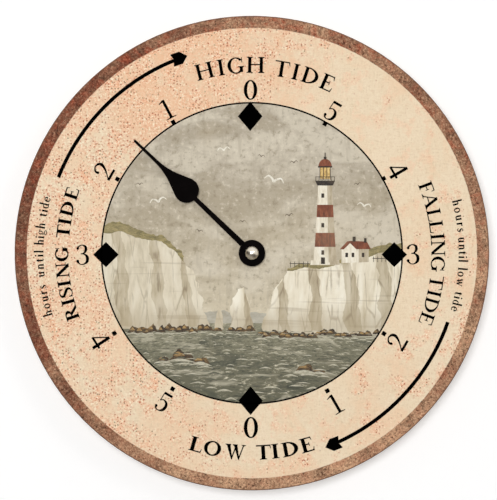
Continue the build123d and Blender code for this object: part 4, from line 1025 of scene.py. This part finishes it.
def print_small_words():
    """Each word fills the angle between its start and its end."""
    gap = 0.07
    for name, words, radius, height in SMALL_WORDS:
        patches = []
        size = ((radius + height / 2) * PIXEL, height * PIXEL)
        for word, start, end in words:
            ends = [ends_of(SMALLS[letter]) for letter in word]
            widths = [right - left for left, right in ends]
            degrees = (end - start) / (sum(widths) + gap * (len(word) - 1))
            angle = start
            for letter, width in zip(word, widths):
                middle = angle + degrees * width / 2
                patches.append(set_letter(SMALLS[letter], middle, *size))
                angle += degrees * (width + gap)
        print_ink(name, patches)


def print_figures():
    patches = []
    for figure, right, up, turned, height in FIGURE_PLACES:
        turn = math.radians(turned)
        across = (math.cos(turn), -math.sin(turn))
        upward = (math.sin(turn), math.cos(turn))
        centre = (right * PIXEL, up * PIXEL)
        patches.append(centred(FIGURES[figure], across, upward, centre, height * PIXEL))
    print_ink("figures", patches)


def print_marks():
    """The thin ring, the four diamonds and the eight square dots."""
    reach = PICTURE_RADIUS + RING_LINE / 2
    halves = [bowl(0, 0, reach, reach, start, start + 180, RING_LINE, RING_LINE, 120) for start in (0, 180)]
    print_ink("dial_ring", [joined(halves)])
    diamonds = []
    for place in DIAMONDS:
        x, z, width, height = [value * PIXEL for value in place]
        half, tall = width / 2, height / 2
        diamonds.append(joined([[(x - half, z), (x, z - tall), (x + half, z), (x, z + tall)]]))
    print_ink("dial_diamonds", diamonds)
    dots = []
    square = ([(-0.5, -0.5), (0.5, -0.5), (0.5, 0.5), (-0.5, 0.5)], [(0, 1, 2), (0, 2, 3)])
    for x, z in DOTS:
        away = Vector((x, z)).normalized()
        dots.append(placed(square, (away.y, -away.x), away, (x * PIXEL, z * PIXEL), DOT_SIZE))
    print_ink("dial_dots", dots)


def print_arrows():
    """Two clockwise arrows on one circle, each with a kite-shaped head."""
    patches = []
    steps = 60
    for start, tip in ARROWS:
        angles = [start + (tip - ARROW_NECK - start) * step / steps for step in range(steps + 1)]
        outer, inner = [
            [dial_point(angle, ARROW_RADIUS + side) for angle in angles]
            for side in (ARROW_HALF, -ARROW_HALF)
        ]
        away = Vector(dial_point(tip, 1.0))
        ahead = Vector((away.y, -away.x))
        head = [tuple(away * ARROW_RADIUS - ahead * behind + away * out) for behind, out in ARROW_HEAD]
        patches.append(joined([outer + inner[::-1], head]))
    print_ink("tide_arrows", patches)


# The picture: a lighthouse coast in thin layers, in millimetres from the dial's centre
DISC = arc(0, 0, PICTURE_RADIUS, PICTURE_RADIUS, 0, 358, 179)


def picture_finish(name):
    if name in PAINTS:
        return make_paint(name)
    if name in CHALKS:
        return make_chalk(name)
    return make_sky() if name == "painted_sky" else make_sea()


def paint_layer(name, outlines, layer, finish):
    """A layer of the picture, cut to the ring."""
    front = FACE_FRONT + layer * LAYER_STEP
    make_sheet(name, [joined(outlines, DISC)], front, LAYER_THICKNESS, picture_finish(finish))


def rugged(points, roughness, seed, rounds=4):
    """A line broken up into ever smaller steps, as rock and turf are."""
    chance = random.Random(seed)
    shortest = 0.7
    for _ in range(rounds):
        finer = []
        for (x0, z0), (x1, z1) in zip(points, points[1:]):
            length = math.hypot(x1 - x0, z1 - z0)
            push = roughness * length * chance.uniform(-1, 1)
            share = chance.uniform(0.38, 0.62)
            finer.append((x0, z0))
            middle = (x0 + (x1 - x0) * share, z0 + (z1 - z0) * share)
            if length > shortest:
                across = (-(z1 - z0) / length, (x1 - x0) / length)
                finer.append((middle[0] + across[0] * push, middle[1] + across[1] * push))
        finer.append(points[-1])
        points = finer
    return points


def paint_sky_and_sea():
    paint_layer("picture_sky", [DISC], 1, "painted_sky")
    hills = [(-40, HORIZON), (-30, -38), (-18, -36.5), (-6, -39.5), (6, -38.5), (18, -41), (30, HORIZON)]
    paint_layer("picture_far_coast", [rugged(hills, 0.10, 4)], 2, "painted_far_coast")
    paint_layer("picture_sea", [slab(-OUTSIDE, OUTSIDE, -OUTSIDE, HORIZON)], 3, "painted_sea")


def paint_cliffs():
    """Chalk cliffs on both sides with a stack and a needle between them, shaded buttresses and turf."""
    left_top = rugged([
        (-OUTSIDE, 16), (-92, 19), (-78, 17), (-66, 12), (-57, 11), (-50, 4), (-45, 1), (-41, -9),
        (-37, -13), (-35, -24), (-31, -31), (-30, -39), (-27, -47),
    ], 0.16, 11)
    left_cliff = left_top + [(-60, -49), (-OUTSIDE, -48)]
    paint_layer("picture_left_cliff", [left_cliff], 4, "painted_far_chalk")
    right_top = rugged([
        (7, -50), (9, -40), (12, -33), (14, -24), (19, -17), (23, -10), (31, -7), (40, -5.5), (56, -5),
        (68, -1), (80, 4), (96, 6), (OUTSIDE, 8),
    ], 0.14, 23)
    right_cliff = right_top + [(OUTSIDE, -53), (40, -52)]
    stack = [(-15, -49), (-14, -38), (-12.5, -29), (-9, -23), (-5, -22), (-2.5, -29), (-1, -38), (1, -49)]
    needle = [(-24, -49), (-23, -41), (-21.3, -36), (-19.6, -36.5), (-18.6, -43), (-18, -49)]
    near_chalk = [right_cliff, rugged(stack, 0.13, 31), rugged(needle, 0.12, 37)]
    paint_layer("picture_right_cliff", near_chalk, 5, "painted_near_chalk")
    buttresses = (
        (41, [(-90, 15), (-86, -6), (-88, -26), (-84, -47), (-77, -47), (-79, -22), (-81, 2), (-84, 14)]),
        (43, [(-66, 9), (-63, -8), (-64, -30), (-60, -47), (-55, -47), (-57, -26), (-58, -6), (-61, 8)]),
        (47, [(-46, -2), (-45, -20), (-43, -36), (-41, -47), (-35, -47), (-38, -32), (-41, -16), (-43, -6)]),
        (53, [(16, -22), (18, -34), (17, -44), (19, -50), (25, -50), (23, -38), (22, -24), (20, -17)]),
        (59, [(36, -8), (38, -24), (36, -40), (38, -50), (46, -50), (45, -34), (44, -18), (41, -9)]),
        (61, [(58, -7), (60, -24), (58, -42), (62, -51), (71, -51), (68, -34), (67, -16), (63, -5)]),
        (67, [(80, 2), (82, -14), (80, -32), (83, -50), (90, -50), (89, -30), (88, -12), (85, 2)]),
    )
    shaded = [rugged(points, 0.10, seed) for seed, points in buttresses]
    stack_shade = [(-4.5, -25), (-5, -34), (-4, -42), (-4.5, -48.5), (0.5, -48.5), (-1.5, -38), (-3, -30)]
    shaded.append(rugged(stack_shade, 0.08, 71))
    paint_layer("picture_cliff_shade", shaded, 6, "painted_chalk_shade")
    lip = 0.4
    left_under = [(-46, -3), (-58, 7.5), (-70, 9), (-84, 14), (-OUTSIDE, 12)]
    right_under = [(OUTSIDE, 1), (92, 0.5), (78, -1.5), (66, -6), (50, -8.8), (36, -9.2), (26, -11.5)]
    turfs = [
        [(x, z + lip) for x, z in top if z > lowest] + rugged(under, 0.10, seed)
        for top, lowest, under, seed in ((left_top, -8, left_under, 73), (right_top, -12, right_under, 79))
    ]
    paint_layer("picture_turf", turfs, 7, "painted_turf")


def slabs(places, width, low, high):
    """Slabs of one size side by side; places are their left-hand edges."""
    return [slab(x, x + width, low, high) for x in places]


def paint_lighthouse():
    """A tapering tower with two russet bands, a gallery and a lantern, and a keeper's house."""
    middle, foot, gallery, dome_top = 47.0, -6.0, 45.0, 55.5
    foot_half, taper = 7.6, 3.3

    def girdle(low, high, left=-1.0):
        """A band round the tower; left is where it starts, as a share of the half width."""
        steps = [low + (high - low) * step / 8 for step in range(9)]
        halves = [foot_half - taper * ((z - foot) / (gallery - foot)) ** 0.8 for z in steps]
        right_side = [(middle + half, z) for half, z in zip(halves, steps)]
        left_side = [(middle + left * half, z) for half, z in zip(halves, steps)]
        return right_side + left_side[::-1]

    house = [(57.5, -6.5), (75, -5.5), (75, 3.2), (57.5, 2.8)]
    gable = [(59.0, 2.6), (62.8, 6.8), (66.5, 2.8)]
    base = [(37.5, -7.6), (56.5, -7.6), (56.0, -4.6), (38.0, -4.6)]
    white = [girdle(foot, gallery), house, gable, base]
    paint_layer("picture_tower", white, 8, "painted_tower")
    house_shade = [(68.5, -6), (75, -5.7), (75, 3.0), (68.5, 3.0)]
    base_shade = [(50, -7.5), (56.5, -7.5), (56.0, -4.7), (50, -4.7)]
    shade = [girdle(foot, gallery, 0.30), house_shade, base_shade]
    paint_layer("picture_tower_shade", shade, 9, "painted_tower_shade")
    roof = [
        (56.4, 2.4), (61.2, 7.6), (63.2, 7.9), (73.8, 7.4),
        (76.4, 2.6), (67.0, 2.5), (63.0, 6.4), (59.0, 2.4),
    ]
    cap = arc(middle, dome_top, 4.3, 5.0, 0, 180, 16)
    russet = [girdle(4, 13), girdle(23, 31), roof, cap]
    paint_layer("picture_russet", russet, 10, "painted_russet")
    glass = [slab(middle - 3.3, middle + 3.3, gallery + 2.6, dome_top)]
    paint_layer("picture_lamp_glass", glass, 9, "painted_lamp_glass")
    trim = slabs([middle + step - 0.22 for step in (-3.3, -1.1, 1.1, 3.3)], 0.44, gallery + 2, dome_top)
    trim += [slab(middle - 6.2, middle + 6.2, gallery + 3.8, gallery + 4.15)]
    trim += slabs([middle + step - 0.15 for step in range(-6, 7, 2)], 0.30, gallery + 1, gallery + 4.1)
    deck = ((-6.4, 1.5), (6.4, 1.5), (5.0, -1.6), (-5.0, -1.6))
    trim += [[(middle + aside, gallery + lift) for aside, lift in deck]]
    trim += [slab(middle - 4.6, middle + 4.6, dome_top - 0.6, dome_top + 0.3)]
    trim += [slab(middle - 0.3, middle + 0.3, dome_top + 4.5, dome_top + 9)]
    trim += [ball(middle, dome_top + 5.6, 0.9)]
    trim += [slab(middle - 2.4, middle - 0.6, z, z + 2.8) for z in (-1.0, 16.5, 35.5)]
    trim += [slab(middle - 2.6, middle - 0.1, -7.0, -2.8)]
    trim += slabs((60.0, 64.0, 70.5), 1.7, -2.6, 0.2)
    trim += [slab(64.6, 66.6, 7.4, 10.6), slab(72.0, 73.6, 6.6, 9.6)]
    trim += slabs((24.5, 27.3, 30.1, 32.9, 35.7), 0.35, -9.2, -5.4) + [slab(24.2, 37, -6.9, -6.5)]
    trim += slabs((78, 80.6, 83.2, 85.8), 0.35, -5.8, -2.2) + [slab(77.5, 88, -3.6, -3.2)]
    paint_layer("picture_dark_trim", trim, 11, "painted_dark")


def rock(x, z, width, height, chance):
    """A low jagged boulder with a flat foot."""
    count = 5
    top = [(x - width / 2, z)]
    for step in range(1, count):
        share = step / count
        rise = height * math.sin(math.pi * share) ** 0.6 * chance.uniform(0.62, 1.15)
        top.append((x - width / 2 + width * share, z + rise))
    top.append((x + width / 2, z))
    return rugged(top, 0.14, chance.random(), 3)


def paint_rocks():
    """Dark reefs along the foot of the cliffs and in the foreground, each boulder with a lit shoulder."""
    chance = random.Random(5)
    rocks, lights = [], []

    def add_rock(x, z, width, height, aside, lift, wide, tall):
        rocks.append(rock(x, z, width, height, chance))
        lights.append(rock(x - width * aside, z + height * lift, width * wide, height * tall, chance))

    places = []
    # count, first place, spacing, sideways play, level, downward play
    reefs = ((12, -76, 4.3, 1, -49.5, 2.2), (18, 6, 4.6, 1.2, -52.0, 2.6))
    for count, first, gap, play, level, drop in reefs:
        for step in range(count):
            x = first + gap * step + chance.uniform(-play, play)
            places.append((x, level - chance.uniform(0, drop)))
    for x, z in places + [(-13, -50), (-7, -50.4), (-1, -50.2), (-22, -50)]:
        width, height = chance.uniform(5.5, 9.5), chance.uniform(2.2, 5.0)
        add_rock(x, z, width, height, 0.12, 0.34, 0.42, 0.40)
    foreground = (
        (-45, -69, 17, 7.5), (-33, -71, 12, 5), (-57, -70, 9, 4), (34, -76, 13, 5.5), (43, -77, 9, 3.6),
    )
    for boulder in foreground:
        add_rock(*boulder, 0.10, 0.42, 0.46, 0.36)
    paint_layer("picture_reef", rocks, 6.5, "painted_reef")
    paint_layer("picture_reef_light", lights, 7.5, "painted_reef_light")


def wave(x, z, width, height, chance):
    """One brush stroke of a wave: thick in the middle, with thin ends that dip."""
    return ribbon([
        (x - width / 2, z, height * 0.12), (x - width * 0.25, z + height * 0.5, height * 0.7),
        (x, z + height * chance.uniform(0.5, 1.0), height),
        (x + width * 0.28, z + height * 0.3, height * 0.6), (x + width / 2, z - height * 0.3, height * 0.10),
    ], 3)


def paint_waves():
    """Rows of strokes that grow towards the bottom, then surf at the rocks and along both shores."""
    chance = random.Random(17)
    pale, dark = [], []
    rows = 15
    for row in range(rows):
        share = row / (rows - 1)
        z = HORIZON - 5.5 - 43 * share ** 1.25
        half = math.sqrt(max(PICTURE_RADIUS ** 2 - z * z, 0))
        width = 3.2 + 8.5 * share
        height = 0.32 + 0.85 * share
        x = -half + chance.uniform(0, width)
        while x < half:
            lift = chance.uniform(-0.9, 0.9) * (0.4 + 1.6 * share)
            long, thick = width * chance.uniform(0.6, 1.3), height * chance.uniform(0.6, 1.2)
            stroke = wave(x, z + lift, long, thick, chance)
            (pale if chance.random() < 0.55 else dark).append(stroke)
            x += width * chance.uniform(0.8, 1.9)
    for x, z, width in ((-46, -69.8, 20), (-33, -72, 15), (-57, -70.8, 12), (34, -77, 16), (43, -78, 12)):
        pale.append(wave(x, z, width, 1.7, chance))
        pale.append(wave(x + 3, z - 1.6, width * 0.7, 1.0, chance))
    # count, first place, spacing, level, downward play, least and greatest height
    for count, first, gap, level, drop, low, high in (
        (15, -82, 5.6, -51.3, 1.6, 0.6, 1.1), (17, 6, 5.0, -54.2, 2.0, 0.7, 1.2),
    ):
        for step in range(count):
            z = level - chance.uniform(0, drop)
            pale.append(wave(first + gap * step, z, chance.uniform(5, 9), chance.uniform(low, high), chance))
    paint_layer("picture_troughs", dark, 8.5, "painted_trough")
    paint_layer("picture_foam", pale, 9.5, "painted_foam")


def gull(x, z, span, tilt, lift=0.5):
    """Two bowed wings and a small body, turned by tilt degrees; lift is the rise of the wings."""
    wing = span / 2
    # each point: share of the wing across, share of it upward, share of the span in thickness
    shares = (
        (-1, 0.10, 0.04), (-0.62, lift, 0.08), (-0.22, 0.26, 0.10), (0, 0.02, 0.13),
        (0.24, 0.24, 0.10), (0.66, lift * 0.9, 0.08), (1, 0.02, 0.04),
    )
    turn = math.radians(tilt)
    along, side = math.cos(turn), math.sin(turn)
    return [
        (x + across * along - up * side, z + across * side + up * along)
        for across, up in ribbon([(a * wing, b * wing, c * span) for a, b, c in shares], 4)
    ]


def paint_gulls():
    near = ((14, 46, 13, -12, 0.46), (-60, 33, 11, 14, 0.42), (72, 30, 9, -8, 0.44), (-18, 66, 8, 10))
    far = (
        (27, 58, 5, 8), (6, 62, 4.4, -6), (68, 44, 4.6, 10), (-72, 44, 4.4, 4), (24, 24, 5.2, 12),
        (-34, 14, 4.6, -10), (-6, 20, 4.0, 6),
    )
    paint_layer("picture_near_gulls", [gull(*bird) for bird in near], 8, "painted_gull")
    paint_layer("picture_far_gulls", [gull(*bird) for bird in far], 7, "painted_far_gull")


# The finishes that the CAD pieces carry
def dress_cad_pieces():
    black = make_plastic(
        "black_moulded_plastic", (28, 28, 29), (58, 58, 58), roughness=0.46, grain=0.5, depth=0.02,
    )
    cover = make_plastic(
        "black_cover_plastic", (32, 32, 33), (64, 64, 64), roughness=0.52, grain=0.32, depth=0.03,
        marks=cover_marks,
    )
    natural = make_plastic("natural_plastic", (222, 219, 208), (236, 234, 226))
    red = make_plastic("red_plastic", (178, 46, 38), (204, 80, 66))
    knob = make_plastic("grey_plastic", (196, 194, 188), (220, 218, 212), roughness=0.38)
    brass = make_metal("turned_brass", (206, 170, 98), (170, 132, 70))
    nickel = make_metal("rolled_nickel", (204, 202, 196), (168, 165, 158), roughness=0.26, turned=False)
    steel = make_metal("screw_steel", (186, 186, 188), (146, 146, 150), roughness=0.3)
    iron = make_metal("soft_iron", (150, 148, 146), (112, 110, 108), roughness=0.38, turned=False)
    polished = make_metal("polished_nickel", (226, 220, 208), (198, 190, 176), roughness=0.26)
    worn = (
        (make_board(), "clock_board"),
        (make_parchment(), "printed_face"),
        (make_hand_paint(), "tide_hand"),
        (polished, "cap_nut"),
        (black, "movement_case"),
        (cover, "rear_cover"),
        (knob, "set_knob"),
        (make_zinc(), "hanger_bracket"),
        (natural, "bearing_plate coil_bobbin first_reduction_wheel third_reduction_wheel centre_wheel"),
        (natural, "intermediate_wheel set_pinion"),
        (red, "rotor_pinion second_reduction_wheel set_arbor"),
        (steel, "bearing_plate_screws stator_screws clutch_spring"),
        (iron, "stator coil_core"),
        (brass, "tide_wheel threaded_bushing brass_washer hex_nut"),
        (nickel, "battery_cap negative_contact positive_contact quartz_crystal"),
        (make_winding(), "coil_winding"),
        (make_ferrite(), "rotor_magnet"),
        (make_circuit(), "circuit_board"),
        (make_epoxy(), "timer_chip"),
        (make_rubber(), "rubber_washer"),
        (make_battery_wrap(), "battery_cell"),
    )
    for finish, names in worn:
        for name in names.split():
            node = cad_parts[name]
            node.data.materials.clear()
            node.data.materials.append(finish)


# Studio: wall, floor, lamps, surroundings and camera, in metres
WALL_REACH, WALL_GAP = 0.45, 0.001
FLOOR_REACH, FLOOR_LEVEL = 4.0, -0.42
CAMERA_DISTANCE = 1.75
SENSOR_WIDTH = 36.0
FILL = 0.32


def make_stage_finish(name, glow, matt, upright, near, far):
    """Pale and matt, with a glow that only the camera and mirrors see; glow and matt are shares of white.

    It is seen from its front only, and fades out between near and far millimetres from the clock.
    """
    pale = Finish(name)
    shaded = pale.node("ShaderNodeBsdfDiffuse", None, {"Color": (matt, matt, matt, 1)})
    plain = pale.node("ShaderNodeEmission", None, {"Color": (1, 1, 1, 1), "Strength": glow * pale.seen()[0]})
    lit = pale.node("ShaderNodeAddShader", None, {0: shaded, 1: plain})
    spread = distance(pale.x, pale.z if upright else pale.y)
    behind = pale.node("ShaderNodeNewGeometry").output("Backfacing")
    gone = behind.larger(spread.rise(near, far))
    clear = pale.node("ShaderNodeBsdfTransparent")
    one_sided = pale.node("ShaderNodeMixShader", None, {0: gone, 1: lit, 2: clear})
    pale.node("ShaderNodeOutputMaterial", None, {"Surface": one_sided})
    return pale.material


def stage_panel(name, corners, material):
    panel = add_mesh(name, corners, [(0, 1, 2, 3)], material)
    panel.visible_glossy = False
    return panel


def set_stage():
    """A pale wall just behind the clock, seen from the front only, and a pale floor below it."""
    wall = stage_panel("pale_wall", [
        (-WALL_REACH, WALL_GAP, FLOOR_LEVEL), (WALL_REACH, WALL_GAP, FLOOR_LEVEL),
        (WALL_REACH, WALL_GAP, WALL_REACH), (-WALL_REACH, WALL_GAP, WALL_REACH),
    ], make_stage_finish("wall_white", glow=0.40, matt=0.66, upright=True, near=230, far=400))
    wall.visible_diffuse = False
    wall.visible_transmission = False
    wall.visible_shadow = False
    stage_panel("pale_floor", [
        (x * FLOOR_REACH, y * FLOOR_REACH, FLOOR_LEVEL) for x, y in ((-1, -1), (1, -1), (1, 1), (-1, 1))
    ], make_stage_finish("floor_white", glow=0.80, matt=0.30, upright=False, near=700, far=3600))


def hang_lamp(name, place, size, level, colour=(1, 1, 1)):
    """A square soft lamp aimed at the clock; level is the share of a written colour that it lights."""
    light = bpy.data.lights.new(name, "AREA")
    light.shape = "SQUARE"
    light.size = size
    light.color = colour
    lamp = add_object(name, light)
    lamp.location = place
    aim = -Vector(place)
    lamp.rotation_euler = aim.to_track_quat("-Z", "Y").to_euler()
    slope = abs(aim.y) / aim.length
    light.energy = level * math.pi ** 2 * aim.length ** 2 / slope
    lamp.visible_camera = False


def light_studio():
    """Three lamps, plain surroundings, and a light and dark sky that only mirrors see."""
    hang_lamp("key_lamp", (-0.22, -2.4, 0.24), size=0.56, level=0.60)
    hang_lamp("side_lamp", (1.1, -1.9, 0.9), size=0.5, level=0.06, colour=(1.0, 0.96, 0.9))
    hang_lamp("rear_lamp", (0.9, 2.0, 1.2), size=0.9, level=0.50)
    world = bpy.data.worlds.new("studio")
    bpy.context.scene.world = world
    air = Finish("studio", world)
    across, _, height = air.split(air.node("ShaderNodeTexCoord").output("Generated"))
    seen, mirrored = air.seen()
    gradient = air.ramp(
        0.5 + 0.4 * (height + 0.45 * across), (0.10, (0.46, 0.43, 0.38, 1)), (0.30, (0.10, 0.08, 0.06, 1)),
        (0.47, (0.03, 0.022, 0.018, 1)), (0.55, (0.92, 0.88, 0.80, 1)), (0.9, (1, 1, 1, 1)),
    )
    shown = air.mix((1, 1, 1, 1), gradient, mirrored)
    lit = air.node("ShaderNodeBackground", None, {"Color": (1, 1, 1, 1), "Strength": FILL})
    backdrop = air.node("ShaderNodeBackground", None, {"Color": shown, "Strength": 1.0})
    mixed = air.node("ShaderNodeMixShader", None, {0: seen, 1: lit, 2: backdrop})
    air.node("ShaderNodeOutputWorld", None, {"Surface": mixed})


def set_camera():
    """Straight on at the photograph's middle, a little left of the clock's centre and above it."""
    camera = add_object("camera", bpy.data.cameras.new("camera"))
    right = (PHOTO_WIDE / 2 - DIAL_ACROSS) * PIXEL * MM
    up = (DIAL_DOWN - PHOTO_TALL / 2) * PIXEL * MM
    camera.location = (right, -(CAMERA_DISTANCE + FACE_FRONT * MM), up)
    camera.rotation_euler = (math.radians(90), 0, 0)
    camera.data.sensor_fit = "HORIZONTAL"
    camera.data.sensor_width = SENSOR_WIDTH
    camera.data.lens = SENSOR_WIDTH * CAMERA_DISTANCE / (PHOTO_WIDE * PIXEL * MM)
    camera.data.clip_start = 0.01
    bpy.context.scene.camera = camera


bpy.context.scene.view_settings.view_transform = "Standard"
dress_cad_pieces()
print_big_words()
print_small_words()
print_figures()
print_marks()
print_arrows()
paint_sky_and_sea()
paint_cliffs()
paint_lighthouse()
paint_rocks()
paint_waves()
paint_gulls()
set_stage()
light_studio()
set_camera()
